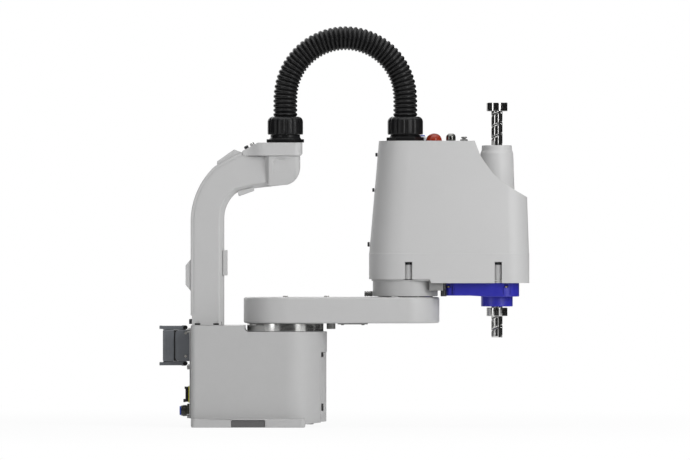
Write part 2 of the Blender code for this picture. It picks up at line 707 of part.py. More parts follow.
def make_connector(parent, lever_axes, grey, black, yellow):
    """The power connector on the rear panel, with a locking lever above and below it."""
    face = REAR_PANEL_X - SEAT
    top = CONNECTOR_BOTTOM + CONNECTOR_HEIGHT
    back = face - CONNECTOR_HOUSING_DEPTH
    side = rounded_box(back, face, CONNECTOR_BOTTOM, top, (CONNECTOR_CORNER, CHAMFER), 4)
    housing = add_piece(
        "connector_housing", prism(side, -CONNECTOR_HALF_WIDTH, CONNECTOR_HALF_WIDTH, "Y"), grey, parent
    )
    round_edges(housing, MOULD_EDGE)
    hood_front = back - SEAT
    hood_back = hood_front - HOOD_DEPTH
    low = CONNECTOR_BOTTOM + HOOD_INSET
    high = top - HOOD_INSET
    mouth = rounded_box(-HOOD_HALF_WIDTH, HOOD_HALF_WIDTH, low, high, HOOD_CORNER, 3)
    hood = add_piece("connector_hood", prism(mouth, hood_back, hood_front, "X"), grey, parent)
    wall = HOOD_MOUTH_WALL
    hollow = rounded_box(
        -HOOD_HALF_WIDTH + wall, HOOD_HALF_WIDTH - wall, low + wall, high - wall, HOOD_CORNER / 2, 2
    )
    cut(hood, prism(hollow, hood_back - THROUGH, hood_front - wall, "X"))
    pivot = face - LEVER_PIVOT_BACK
    for word, axis, edge, way in (
        ("upper", lever_axes[0], top, 1),
        ("lower", lever_axes[1], CONNECTOR_BOTTOM, -1),
    ):
        outline = lever_outline(pivot, edge + way * (SEAT + LEVER_THICKNESS / 2), hood_back, way)
        lever = add_piece(
            "connector_lever_" + word, prism(outline, -LEVER_HALF_WIDTH, LEVER_HALF_WIDTH, "Y"), grey, axis,
            at=(pivot, 0, edge + way * (SEAT + LEVER_THICKNESS / 2)),
        )
        round_edges(lever, LEVER_EDGE)
    make_rear_fittings(parent, face, black, yellow)


def lever_outline(pivot, height, hood_back, way):
    """A locking lever from the side, about its pivot, with a hook that drops over the hood's edge."""
    half = LEVER_THICKNESS / 2
    tip = hood_back - SEAT - LEVER_HOOK - pivot
    hook = tip + LEVER_HOOK
    points = (
        arc((0, 0), half, 90, -90, 6)
        + [(hook, -half), (hook, -half - LEVER_HOOK_DROP), (tip, -half - LEVER_HOOK_DROP), (tip, half)]
    )
    return [(x, z * way) for x, z in points]


def make_rear_fittings(parent, face, black, yellow):
    """The signal connector and the air inlet under the power connector."""
    low = SIGNAL_HEIGHT - SIGNAL_LENGTH / 2
    shell = rounded_box(-SIGNAL_WIDTH / 2, SIGNAL_WIDTH / 2, low, low + SIGNAL_LENGTH, SIGNAL_CORNER, 3)
    signal = add_piece("signal_connector", prism(shell, face - SIGNAL_DEPTH, face, "X"), yellow, parent)
    wall_y, wall_z = SIGNAL_SOCKET_WALLS
    socket = rounded_box(
        -SIGNAL_WIDTH / 2 + wall_y, SIGNAL_WIDTH / 2 - wall_y, low + wall_z, low + SIGNAL_LENGTH - wall_z,
        SIGNAL_CORNER / 2, 2,
    )
    cut(signal, prism(socket, face - SIGNAL_DEPTH - THROUGH, face - SIGNAL_DEPTH / 2, "X"))
    flange = INLET_FLANGE_LENGTH
    profile = [
        (INLET_FLANGE_RADIUS, 0), (INLET_FLANGE_RADIUS, -flange), (INLET_RADIUS, -flange),
        (INLET_RADIUS, -INLET_LENGTH + 2 * CHAMFER), (INLET_RADIUS - 2 * CHAMFER, -INLET_LENGTH),
        (INLET_BORE, -INLET_LENGTH), (INLET_BORE, 0),
    ]
    add_piece(
        "air_inlet_fitting", turned(profile, 24, "X"), black, parent, (face, INLET_SIDE, INLET_HEIGHT)
    )


def duct_side():
    """The duct from the side: up the column, round the bend and out over the first axis."""
    rear = -DUCT_REAR
    bend = (rear + DUCT_BEND_FORWARD, DECK_Z + DUCT_BEND_CENTRE)
    inner_centre = (-DUCT_FRONT + DUCT_INNER_BEND_RADIUS, DECK_Z + DUCT_INNER_BEND_CENTRE)
    nose_rx, nose_rz = DUCT_NOSE_ARC
    foot = DECK_Z + SEAT
    notch_top = DECK_Z + COLUMN_NOTCH_HEIGHT
    return (
        [(-DUCT_FRONT, foot)]
        + arc(inner_centre, DUCT_INNER_BEND_RADIUS, 180, DUCT_INNER_BEND_ANGLE, 8)
        + [(x, DECK_Z + z) for x, z in DUCT_UNDERSIDE]
        + arc((DUCT_NOSE - nose_rx, DECK_Z + DUCT_UNDERSIDE[1][1] + nose_rz), (nose_rx, nose_rz), 280, 360, 6)
        + [(DUCT_NOSE, DUCT_HEAD_Z), (DUCT_TONGUE_END, DUCT_HEAD_Z)]
        + [(DUCT_SLOPE_END[0], DECK_Z + DUCT_SLOPE_END[1])]
        + arc(bend, DUCT_BEND_FORWARD, DUCT_BEND_ANGLE, 180, 10)
        + [(rear, notch_top), (rear + COLUMN_NOTCH_DEPTH, notch_top - COLUMN_NOTCH_DEPTH)]
        + [(rear + COLUMN_NOTCH_DEPTH, foot)]
    )


def inset_outline(points, gap):
    """Move an outline's sides inwards by a gap. The outline runs anticlockwise."""
    moved = []
    for i, here in enumerate(points):
        before = Vector(here) - Vector(points[i - 1])
        after = Vector(points[(i + 1) % len(points)]) - Vector(here)
        before.normalize()
        after.normalize()
        normal = Vector((-before.y, before.x)) + Vector((-after.y, after.x))
        normal.normalize()
        lean = max(normal.dot(Vector((-after.y, after.x))), 0.3)
        moved.append(tuple(Vector(here) + normal * gap / lean))
    return moved


def duct_plan(inset, front):
    """The duct from above: a narrow column that flares into the head."""
    narrow = DUCT_HALF_WIDTH - inset
    wide = DUCT_HEAD_HALF_WIDTH - inset
    rear = -DUCT_REAR - (THROUGH if inset == 0 else -inset)
    corner = DUCT_HEAD_CORNER
    right = (
        [(rear, -narrow), (DUCT_FLARE[0], -narrow), (DUCT_FLARE[1], -wide)]
        + arc((front - inset - corner, -wide + corner), corner, 270, 360, 4)
    )
    return right + [(x, -y) for x, y in reversed(right)]


def pad_outline(corner, way, side, pad):
    """A pad on a straight side of the duct. Its lengths run from a corner of the duct along that side."""
    start, end, start_proud, end_proud, start_lean, end_lean = pad
    corner = Vector(corner)
    way = Vector(way).normalized()
    out = Vector((way.y, -way.x)) * side
    places = (
        (start, -DUCT_PAD_SINK), (end, -DUCT_PAD_SINK), (end - end_lean, end_proud),
        (start + start_lean, start_proud),
    )
    return [tuple(corner + way * along + out * proud) for along, proud in places]


def duct_pads():
    """The four raised pads along the duct's seam, each as an outline from the side."""
    foot = DECK_Z + SEAT
    outer_end = Vector(
        arc((-DUCT_REAR + DUCT_BEND_FORWARD, DECK_Z + DUCT_BEND_CENTRE), DUCT_BEND_FORWARD, 180,
            DUCT_BEND_ANGLE, 1)[-1]
    )
    inner_end = Vector(
        arc((-DUCT_FRONT + DUCT_INNER_BEND_RADIUS, DECK_Z + DUCT_INNER_BEND_CENTRE),
            DUCT_INNER_BEND_RADIUS, 180, DUCT_INNER_BEND_ANGLE, 1)[-1]
    )
    slope_end = Vector((DUCT_SLOPE_END[0], DECK_Z + DUCT_SLOPE_END[1]))
    underside = Vector((DUCT_UNDERSIDE[0][0], DECK_Z + DUCT_UNDERSIDE[0][1]))
    return [
        pad_outline((-DUCT_REAR, foot), (0, 1), -1, COLUMN_REAR_PAD),
        pad_outline((-DUCT_FRONT, foot), (0, 1), 1, COLUMN_FRONT_PAD),
        pad_outline(outer_end, slope_end - outer_end, -1, SLOPE_PAD),
        pad_outline(inner_end, underside - inner_end, 1, UNDERSIDE_PAD),
    ]


def make_duct_half(word, side, parent, paint):
    """Half of the duct. The two halves meet on the plane of the arm."""
    reach = DUCT_HEAD_HALF_WIDTH + THROUGH
    half = add_piece("duct_" + word, prism(duct_side(), -reach, reach, "Y"), paint, parent)
    keep_inside(half, prism(duct_plan(0, DUCT_NOSE + THROUGH), DECK_Z, DUCT_HEAD_Z + DUCT_HEAD_TOP))
    round_edges(half, DUCT_EDGE)
    for outline in duct_pads():
        join(half, prism(outline, -DUCT_PAD_HALF_WIDTH, DUCT_PAD_HALF_WIDTH, "Y"))
    hollow = add_piece(
        "duct_hollow_" + word, prism(inset_outline(duct_side(), DUCT_WALL), -reach, reach, "Y")
    )
    keep_inside(hollow, prism(duct_plan(DUCT_WALL, DUCT_NOSE), DECK_Z, DUCT_HEAD_Z + DUCT_HEAD_TOP))
    combine(half, hollow, "DIFFERENCE")
    wall = DUCT_WALL
    inner = DUCT_HALF_WIDTH - wall
    cut(
        half,
        box(-DUCT_REAR + COLUMN_NOTCH_DEPTH + wall, -DUCT_FRONT - wall, -inner, inner, DECK_Z - THROUGH,
            DECK_Z + 2 * wall),
    )
    cut(half, turned(rod(LID_BORE, DUCT_HEAD_Z - 2 * wall, DUCT_HEAD_Z + THROUGH)))
    far = side * (reach + THROUGH)
    panel_face = side * (DUCT_HEAD_HALF_WIDTH - HEAD_PANEL_DEPTH)
    cut(
        half,
        box(*HEAD_PANEL, min(panel_face, far), max(panel_face, far), DUCT_HEAD_Z - HEAD_PANEL_BOTTOM,
            DUCT_HEAD_Z + THROUGH),
    )
    seam = side * SEAT / 2
    cut(
        half,
        box(-DUCT_REAR - reach, DUCT_NOSE + reach, min(seam, -far), max(seam, -far), DECK_Z - THROUGH,
            DUCT_HEAD_Z + DUCT_HEAD_TOP),
    )


def lid_side():
    """The lid on the duct's head, with its slanted rear end."""
    foot = DUCT_HEAD_Z + SEAT
    slope_end = (DUCT_SLOPE_END[0], DECK_Z + DUCT_SLOPE_END[1] + SEAT)
    front = DUCT_NOSE + LID_OVERHANG
    return [
        (DUCT_TONGUE_END, foot), (DUCT_NOSE, foot), (front, foot + LID_OVERHANG), (front, LID_TOP),
        (slope_end[0] + LID_SLOPE_RUN, LID_TOP), (slope_end[0] + LID_LIP[0], slope_end[1] + LID_LIP[1]),
        slope_end,
    ]


def make_duct(parent, paint, steel):
    """The duct's halves, lid and foot screws."""
    make_duct_half("left", -1, parent, paint)
    make_duct_half("right", 1, parent, paint)
    reach = DUCT_HEAD_HALF_WIDTH + THROUGH
    lid = add_piece("duct_lid", prism(lid_side(), -reach, reach, "Y"), paint, parent)
    keep_inside(lid, prism(duct_plan(-THROUGH, DUCT_NOSE + LID_OVERHANG), DUCT_HEAD_Z, LID_TOP + THROUGH))
    round_edges(lid, DUCT_EDGE)
    cut(lid, turned(rod(LID_BORE, DUCT_HEAD_Z - THROUGH, LID_TOP + THROUGH)))
    for side, word in ((-1, "left"), (1, "right")):
        profile = [
            (0, -COLUMN_SCREW_LENGTH), (COLUMN_SCREW_RADIUS - CHAMFER, -COLUMN_SCREW_LENGTH),
            (COLUMN_SCREW_RADIUS, -COLUMN_SCREW_LENGTH + CHAMFER), (COLUMN_SCREW_RADIUS, 0), (0, 0),
        ]
        add_piece(
            "column_screw_" + word, turned(profile, 12, "X"), steel, parent,
            (-DUCT_REAR + COLUMN_NOTCH_DEPTH - SEAT, side * COLUMN_SCREW_SIDE, DECK_Z + COLUMN_SCREW_HEIGHT),
        )


def nut_outline(inset):
    """The gland nut from above, with grip ribs."""
    points = []
    steps = GLAND_NUT_RIBS * 3
    for i in range(steps):
        radius = GLAND_NUT_RADIUS - inset - (GLAND_NUT_RIB_DEPTH if i % 3 == 2 else 0)
        angle = 2 * math.pi * i / steps
        points.append((radius * math.cos(angle), radius * math.sin(angle)))
    return points


def make_gland(name, foot, x, parent, black):
    """A gland: the body screwed to the housing, and the nut that clamps the conduit."""
    cone_foot = foot + GLAND_FLANGE_HEIGHT
    flange = turned(rod(GLAND_FLANGE_RADIUS, foot, cone_foot), GLAND_FLANGE_SIDES)
    gland = add_piece(name, flange, black, parent, (x, 0, 0))
    neck = [
        (0, foot + THROUGH), (GLAND_CONE_RADIUS, foot + THROUGH), (GLAND_CONE_RADIUS, cone_foot),
        (GLAND_NECK_RADIUS, cone_foot + GLAND_CONE_HEIGHT), (GLAND_NECK_RADIUS, NUT_FOOT_Z - SEAT),
        (0, NUT_FOOT_Z - SEAT),
    ]
    join(gland, turned(neck), (x, 0, 0))
    cut(gland, turned(rod(GLAND_BORE, foot - THROUGH, NUT_FOOT_Z + THROUGH)), (x, 0, 0))
    top = NUT_FOOT_Z + GLAND_NUT_HEIGHT
    inwards, upwards = GLAND_NUT_SHOULDER_BULGE
    levels = [
        (nut_outline(0), NUT_FOOT_Z),
        (nut_outline(0), top - GLAND_NUT_SHOULDER),
        (nut_outline(GLAND_NUT_SHOULDER * inwards), top - GLAND_NUT_SHOULDER * (1 - upwards)),
        (nut_outline(GLAND_NUT_SHOULDER), top),
    ]
    nut = add_piece(name + "_nut", loft(levels), black, parent, (x, 0, 0))
    cut(nut, turned(rod(CONDUIT_RADIUS + RUN, NUT_FOOT_Z - THROUGH, top + THROUGH)), (x, 0, 0))


def conduit_bend(share):
    """How tightly the conduit bends at a share of its length: nothing at the ends, eased in between."""
    from_end = min(share, 1 - share)
    rise = min(max((from_end - CONDUIT_STRAIGHT) / (2 * CONDUIT_EASE) + 0.5, 0), 1)
    return rise * rise * (3 - 2 * rise)


def conduit_route(count):
    """The conduit's centreline, up out of one gland, over, and down into the other, with its heading."""
    bends = [conduit_bend((i + 0.5) / count) for i in range(count)]
    x = z = 0.0
    heading = math.pi / 2
    track = [(x, z, heading)]
    for bend in bends:
        turn = math.pi * bend / sum(bends)
        heading -= turn / 2
        x += math.cos(heading) / count
        z += math.sin(heading) / count
        heading -= turn / 2
        track.append((x, z, heading))
    span, lift = track[-1][:2]
    scale = J2_X / span
    start = NUT_FOOT_Z + SEAT
    return [
        (px * scale, start + (pz - lift * k / count) * scale, way) for k, (px, pz, way) in enumerate(track)
    ]


def make_conduit(parent, black):
    """The corrugated conduit: a crest between every two valleys, along the arch."""
    build = bmesh.new()
    rings = []
    for k, (x, z, heading) in enumerate(conduit_route(2 * CONDUIT_RINGS)):
        radius = CONDUIT_RADIUS - (CONDUIT_RING_DEPTH if k % 2 == 0 else 0)
        ring = []
        for i in range(CONDUIT_SIDES):
            angle = 2 * math.pi * i / CONDUIT_SIDES
            out = radius * math.cos(angle)
            place = (x - math.sin(heading) * out, radius * math.sin(angle), z + math.cos(heading) * out)
            ring.append(build.verts.new(place))
        rings.append(ring)
    build.faces.new(rings[0])
    build.faces.new(rings[-1])
    for first, second in zip(rings, rings[1:]):
        join_rings(build, first, second)
    add_piece("cable_conduit", build, black, parent)


def arm_1_outline(inset):
    """The first arm from above: two round ends and the straight sides that touch both."""
    rear = ARM_1_REAR_RADIUS - inset
    front = ARM_1_FRONT_RADIUS - inset
    lean = math.degrees(math.asin((rear - front) / ARM_1_LENGTH))
    return (
        arc((ARM_1_LENGTH, 0), front, -90 + lean, 90 - lean, 18)
        + arc((0, 0), rear, 90 - lean, 270 + lean, 22)
    )


def make_arm_1(parent, paint, black, steel):
    """The first arm's casting, its bottom cover, stop bolt, screws and the second joint's reducer."""
    casting = add_piece("arm_1_casting", prism(arm_1_outline(0), ARM_1_Z, ARM_1_TOP), paint, parent)
    round_edges(casting, ARM_1_EDGE, 2, 50)
    pocket = rounded_box(
        ARM_1_POCKET[0] + BOTTOM_COVER_LAP, ARM_1_POCKET[1], -ARM_1_POCKET_HALF_WIDTH,
        ARM_1_POCKET_HALF_WIDTH, ARM_1_POCKET_CORNER,
    )
    cut(casting, prism(pocket, ARM_1_Z - THROUGH, ARM_1_Z + ARM_1_POCKET_DEPTH))
    reducer_low = ARM_2_Z - SEAT - J2_REDUCER_HEIGHT
    seat = rod(J2_REDUCER_RADIUS + SEAT, reducer_low - SEAT, ARM_1_TOP + THROUGH)
    cut(casting, turned(seat), (J2_X, 0, 0))
    cover = rounded_box(
        ARM_1_POCKET[0], ARM_1_POCKET[1] + BOTTOM_COVER_LAP, -ARM_1_POCKET_HALF_WIDTH - BOTTOM_COVER_LAP,
        ARM_1_POCKET_HALF_WIDTH + BOTTOM_COVER_LAP, ARM_1_POCKET_CORNER + BOTTOM_COVER_LAP,
    )
    add_piece(
        "arm_1_bottom_cover", prism(cover, ARM_1_Z - SEAT - BOTTOM_COVER_THICKNESS, ARM_1_Z - SEAT), black,
        parent,
    )
    socket_top = -STOP_BOLT_LENGTH + STOP_BOLT_SOCKET_DEPTH
    head = [
        (0, socket_top), (STOP_BOLT_SOCKET, socket_top), (STOP_BOLT_SOCKET, -STOP_BOLT_LENGTH),
        (STOP_BOLT_RADIUS - CHAMFER, -STOP_BOLT_LENGTH), (STOP_BOLT_RADIUS, -STOP_BOLT_LENGTH + CHAMFER),
        (STOP_BOLT_RADIUS, 0), (0, 0),
    ]
    add_piece("j1_stop_bolt", turned(head), steel, parent, (STOP_BOLT_X, 0, ARM_1_Z - SEAT))
    for x, word in zip(ARM_SCREW_PLACES, ("rear", "front")):
        screw = [
            (0, SEAT), (ARM_SCREW_RADIUS, SEAT), (ARM_SCREW_RADIUS, ARM_SCREW_HEIGHT * 0.6),
            (ARM_SCREW_RADIUS * 0.6, ARM_SCREW_HEIGHT), (0, ARM_SCREW_HEIGHT),
        ]
        add_piece("arm_1_screw_" + word, turned(screw, 12), steel, parent, (x, 0, ARM_1_TOP))
    reducer = rod(J2_REDUCER_RADIUS, reducer_low, ARM_2_Z - SEAT)
    add_piece("j2_reducer", turned(reducer), steel, parent, (J2_X, 0, 0))


def cover_rise(height):
    """How far up the cover's drafted sides a height is, from 0 to 1."""
    return min(max((height - COVER_DRAFT_START) / (COVER_TOP - COVER_DRAFT_START), 0), 1)


def rear_face_x(height):
    """Where the cover's rear face is at a height above the hub's underside."""
    return J2_X - COVER_REAR + (COVER_REAR - COVER_TOP_REAR) * cover_rise(height)


def cover_plan(height, inset):
    """The second arm's cover from above, at a height above the hub's underside."""
    rise = cover_rise(height)
    half = COVER_HALF_WIDTH + (COVER_TOP_HALF_WIDTH - COVER_HALF_WIDTH) * rise - inset
    rear = rear_face_x(height) + inset
    fall = min(max((height - COVER_DRAFT_START) / (COVER_SHOULDER - COVER_DRAFT_START), 0), 3)
    nose = SHAFT_X + COVER_NOSE + (COVER_TOP_NOSE - COVER_NOSE) * fall - inset
    corner = COVER_NOSE_CORNER - inset
    return (
        arc((nose - corner, -half + corner), corner, 270, 360, 5)
        + arc((nose - corner, half - corner), corner, 0, 90, 5)
        + arc((rear + half, 0), half, 90, 270, 16)
    )


def cover_loft(inset, low, high):
    """The cover's outside or, with an inset, its inside, before the scoop at the front."""
    levels = [low, COVER_DRAFT_START, high]
    return loft([(cover_plan(level, inset), ARM_2_Z + level) for level in levels])


def cover_side(inset):
    """The cover from the side: the scoop in front of the tube and the step in the lower edge."""
    reach = 0.02
    low = COVER_FRONT_LIP if inset == 0 else -reach
    rear_low = COVER_LIP if inset == 0 else -reach
    last_x, last_z = COVER_SCOOP[-1]
    slope = (COVER_SHOULDER - last_z) / (COVER_TOP_NOSE - last_x)
    scoop = [(SHAFT_X + COVER_NOSE + reach, last_z + slope * (COVER_NOSE + reach - last_x))]
    scoop += [(SHAFT_X + x, z) for x, z in reversed(COVER_SCOOP)]
    scoop += [(SHAFT_X - COVER_TOP_END, COVER_TOP)]
    scoop = [(x, z - inset * (1.3 if z < COVER_TOP else 1)) for x, z in scoop]
    scoop[-1] = (scoop[-1][0] - inset * 0.6, scoop[-1][1])
    step = J2_X + COVER_LIP_STEP
    points = [
        (J2_X - COVER_REAR - reach, rear_low), (step, rear_low), (step + COVER_STEP_SLANT, low),
        (SHAFT_X + COVER_NOSE + reach, low),
    ]
    if inset:
        points = [points[0], points[-1]]
    points += scoop + [(J2_X - COVER_REAR - reach, scoop[-1][1])]
    return [(x, ARM_2_Z + z) for x, z in points]


def slot_boxes(margin):
    """The screw slots in both sides of the cover's lower edge."""
    for share, shift in SLOT_PLACES:
        x = J2_X + ARM_2_LENGTH * share + shift
        for side in (-1, 1):
            outer = side * (COVER_HALF_WIDTH + THROUGH)
            deep = side * (COVER_HALF_WIDTH - SLOT_DEPTH - margin)
            yield box(
                x - SLOT_WIDTH / 2 - margin, x + SLOT_WIDTH / 2 + margin, min(outer, deep), max(outer, deep),
                ARM_2_Z, ARM_2_Z + SLOT_TOP + margin,
            )


def make_cover(parent, plastic):
    """The second arm's cover: one moulding with the tube that the shaft runs in."""
    reach = COVER_HALF_WIDTH + THROUGH
    outside = cover_loft(0, COVER_FRONT_LIP - THROUGH, COVER_TOP + THROUGH)
    cover = add_piece("arm_2_cover", outside, plastic, parent)
    keep_inside(cover, prism(cover_side(0), -reach, reach, "Y"))
    round_edges(cover, COVER_EDGE, 2, 35)
    hollow = add_piece("cover_hollow", cover_loft(COVER_WALL, -THROUGH, COVER_TOP + THROUGH))
    keep_inside(hollow, prism(cover_side(COVER_WALL), -reach, reach, "Y"))
    for block in slot_boxes(SLOT_WALL):
        cut(hollow, block)
    combine(cover, hollow, "DIFFERENCE")
    for block in slot_boxes(0):
        cut(cover, block)
    low, step, high = ARM_2_Z + TUBE_FOOT, ARM_2_Z + TUBE_STEP, ARM_2_Z + TUBE_TOP
    tube = [
        (0, low), (TUBE_RADII[0], low), (TUBE_RADII[1], step), (TUBE_RADII[2], step + CHAMFER),
        (TUBE_RADII[3], high - CHAMFER), (TUBE_RADII[3] - CHAMFER, high), (0, high),
    ]
    join(cover, turned(tube), (SHAFT_X, 0, 0))
    cut(cover, turned(rod(TUBE_BORE, low - THROUGH, high + THROUGH)), (SHAFT_X, 0, 0))
    cut(
        cover,
        turned(rod(GLAND_BORE, COVER_TOP_Z - COVER_WALL - THROUGH, COVER_TOP_Z + THROUGH)),
        (J2_X, 0, 0),
    )


def make_arm_2(parent, paint, steel):
    """The second arm's casting with its hub, and the stops of the second joint."""
    plan = cover_plan(0, COVER_WALL + PLATE_MARGIN)
    casting = add_piece("arm_2_casting", prism(plan, PLATE_Z, PLATE_TOP), paint, parent)
    hub = [
        (0, ARM_2_Z), (HUB_RADIUS - CHAMFER, ARM_2_Z), (HUB_RADIUS, ARM_2_Z + CHAMFER),
        (HUB_RADIUS, PLATE_Z + THROUGH), (0, PLATE_Z + THROUGH),
    ]
    join(casting, turned(hub, 36), (J2_X, 0, 0))
    join(
        casting,
        box(J2_X + DROP_BLOCK[0], J2_X + DROP_BLOCK[1], -DROP_BLOCK_HALF_WIDTH, DROP_BLOCK_HALF_WIDTH,
            PLATE_Z - DROP_BLOCK_DEPTH, PLATE_Z + THROUGH),
    )
    through = (ARM_2_Z - THROUGH, PLATE_TOP + THROUGH)
    cut(casting, turned(rod(HUB_BORE, *through)), (J2_X, 0, 0))
    cut(casting, turned(rod(BEARING_RADIUS + SEAT, *through)), (SHAFT_X, 0, 0))
    cut(casting, turned(rod(MOTOR_SHAFT_RADIUS + RUN, *through), 16), (*TURN_MOTOR_PLACE, 0))
    for block in slot_boxes(SLOT_WALL + PLATE_MARGIN):
        cut(casting, block)
    shank_end = -math.sqrt(HUB_RADIUS ** 2 - REAR_STOP_RADIUS ** 2) - SEAT
    head_foot = REAR_STOP_X + REAR_STOP_HEAD
    bolt = [
        (0, REAR_STOP_X), (REAR_STOP_RADIUS - CHAMFER / 2, REAR_STOP_X),
        (REAR_STOP_RADIUS, REAR_STOP_X + CHAMFER / 2), (REAR_STOP_RADIUS, head_foot),
        (REAR_STOP_SHANK, head_foot), (REAR_STOP_SHANK, shank_end), (0, shank_end),
    ]
    add_piece("j2_stop_bolt", turned(bolt, 16, "X"), steel, parent, (J2_X, 0, ARM_2_Z + REAR_STOP_HEIGHT))
    pin = rod(STOP_PIN_RADIUS, ARM_2_Z, PLATE_Z - SEAT)
    add_piece("j2_stop_pin", turned(pin, 16), steel, parent, (J2_X + STOP_PIN_X, STOP_PIN_Y, 0))


def make_lower_cover(parent, blue):
    """The cover under the front of the arm, which hides the lower belt."""
    x0, x1 = SHAFT_X - LOWER_COVER_BACK, SHAFT_X + LOWER_COVER_FRONT
    half = LOWER_COVER_HALF_WIDTH
    top = PLATE_Z - SEAT
    low = top - LOWER_COVER_DEPTH
    corners = (LOWER_COVER_CORNER, LOWER_COVER_NOSE_CORNER)
    shell = add_piece(
        "lower_cover", prism(rounded_box(x0, x1, -half, half, corners), low, top), blue, parent
    )
    round_edges(shell, MOULD_EDGE, 2, 50)
    boss_low = low - BOSS_HEIGHT
    boss = [
        (0, boss_low), (BOSS_RADIUS - CHAMFER, boss_low), (BOSS_RADIUS, boss_low + CHAMFER),
        (BOSS_RADIUS, low + LOWER_COVER_WALL / 2), (0, low + LOWER_COVER_WALL / 2),
    ]
    join(shell, turned(boss), (SHAFT_X, 0, 0))
    wall = LOWER_COVER_WALL
    inner = (LOWER_COVER_CORNER - wall, LOWER_COVER_NOSE_CORNER - wall)
    cut(
        shell,
        prism(rounded_box(x0 + wall, x1 - wall, -half + wall, half - wall, inner), low + wall, top + THROUGH),
    )
    cut(
        shell,
        turned(rod(NUT_RADIUS + 2 * RUN, boss_low - THROUGH, low + 2 * wall)),
        (SHAFT_X, 0, 0),
    )


def make_pulley_nut(name, low, high, pulley_low, parent, steel):
    """A nut that turns on the shaft, with its toothed pulley."""
    bore = SHAFT_RADIUS + RUN
    pulley_high = pulley_low + PULLEY_WIDTH
    profile = [
        (bore, low), (NUT_RADIUS, low), (NUT_RADIUS, pulley_low), (NUT_PULLEY_RADIUS, pulley_low),
        (NUT_PULLEY_RADIUS, pulley_high), (NUT_RADIUS, pulley_high), (NUT_RADIUS, high), (bore, high),
    ]
    add_piece(name, turned(profile), steel, parent, (SHAFT_X, 0, 0))


def make_motor_pulley(name, low, shaft_top, place, parent, steel):
    """A motor's pulley with the end of the motor's shaft."""
    high = low + PULLEY_WIDTH
    profile = [
        (0, low), (MOTOR_PULLEY_RADIUS, low), (MOTOR_PULLEY_RADIUS, high), (MOTOR_SHAFT_RADIUS, high),
        (MOTOR_SHAFT_RADIUS, shaft_top), (0, shaft_top),
    ]
    add_piece(name, turned(profile, 20), steel, parent, (*place, 0))


def belt_outline(place, inset):
    """A belt from above: round both pulleys and straight between them."""
    small = MOTOR_PULLEY_RADIUS + SEAT + inset
    large = NUT_PULLEY_RADIUS + SEAT + inset
    dx, dy = place[0] - SHAFT_X, place[1]
    distance = math.hypot(dx, dy)
    way = math.degrees(math.atan2(dy, dx))
    lean = math.degrees(math.acos((large - small) / distance))
    return (
        arc(place, small, way - lean, way + lean, 10)
        + arc((SHAFT_X, 0), large, way + lean, way + 360 - lean, 22)
    )


def make_belt(name, place, pulley_low, parent, rubber):
    """A closed toothed belt, as a band round its two pulleys."""
    low = pulley_low + (PULLEY_WIDTH - BELT_WIDTH) / 2
    belt = add_piece(name, prism(belt_outline(place, BELT_THICKNESS), low, low + BELT_WIDTH), rubber, parent)
    cut(belt, prism(belt_outline(place, 0), low - THROUGH, low + BELT_WIDTH + THROUGH))


def make_bearing(name, low, parent, steel):
    """The bearing ring that carries a nut."""
    add_piece(
        name, turned(ring(BEARING_RADIUS, NUT_RADIUS + RUN, low, low + BEARING_WIDTH)), steel, parent,
        (SHAFT_X, 0, 0),
    )


def make_motor_plate(parent, metal):
    """The plate that carries the lifting motor and its nut, on four legs beside the turning motor."""
    back, front, half = SHAFT_X - MOTOR_PLATE_BACK, SHAFT_X + MOTOR_PLATE_FRONT, MOTOR_PLATE_HALF_WIDTH
    notch = SHAFT_X - MOTOR_BACK + MOTOR_SIZE / 2 + MOTOR_CLEARANCE
    edge = MOTOR_SIDE - MOTOR_SIZE / 2 - THROUGH
    outline = [(back, -half), (front, -half), (front, half), (notch, half), (notch, edge), (back, edge)]
    low, high = MOTOR_PLATE_Z, MOTOR_PLATE_Z + MOTOR_PLATE_THICKNESS
    plate = add_piece("motor_plate", prism(outline, low, high), metal, parent)
    inset = MOTOR_PLATE_LEG
    for x, y in (
        (back + inset, -half + inset), (front - inset, -half + inset), (front - inset, half - inset),
        (notch + inset, half - inset),
    ):
        leg = box(x - inset, x + inset, y - inset, y + inset, PLATE_TOP + SEAT, low + THROUGH)
        join(plate, leg)
    cut(plate, turned(rod(BEARING_RADIUS + SEAT, low - THROUGH, high + THROUGH)), (SHAFT_X, 0, 0))
    cut(
        plate, turned(rod(MOTOR_SHAFT_RADIUS + RUN, low - THROUGH, high + THROUGH), 16),
        (*LIFT_MOTOR_PLACE, 0),
    )


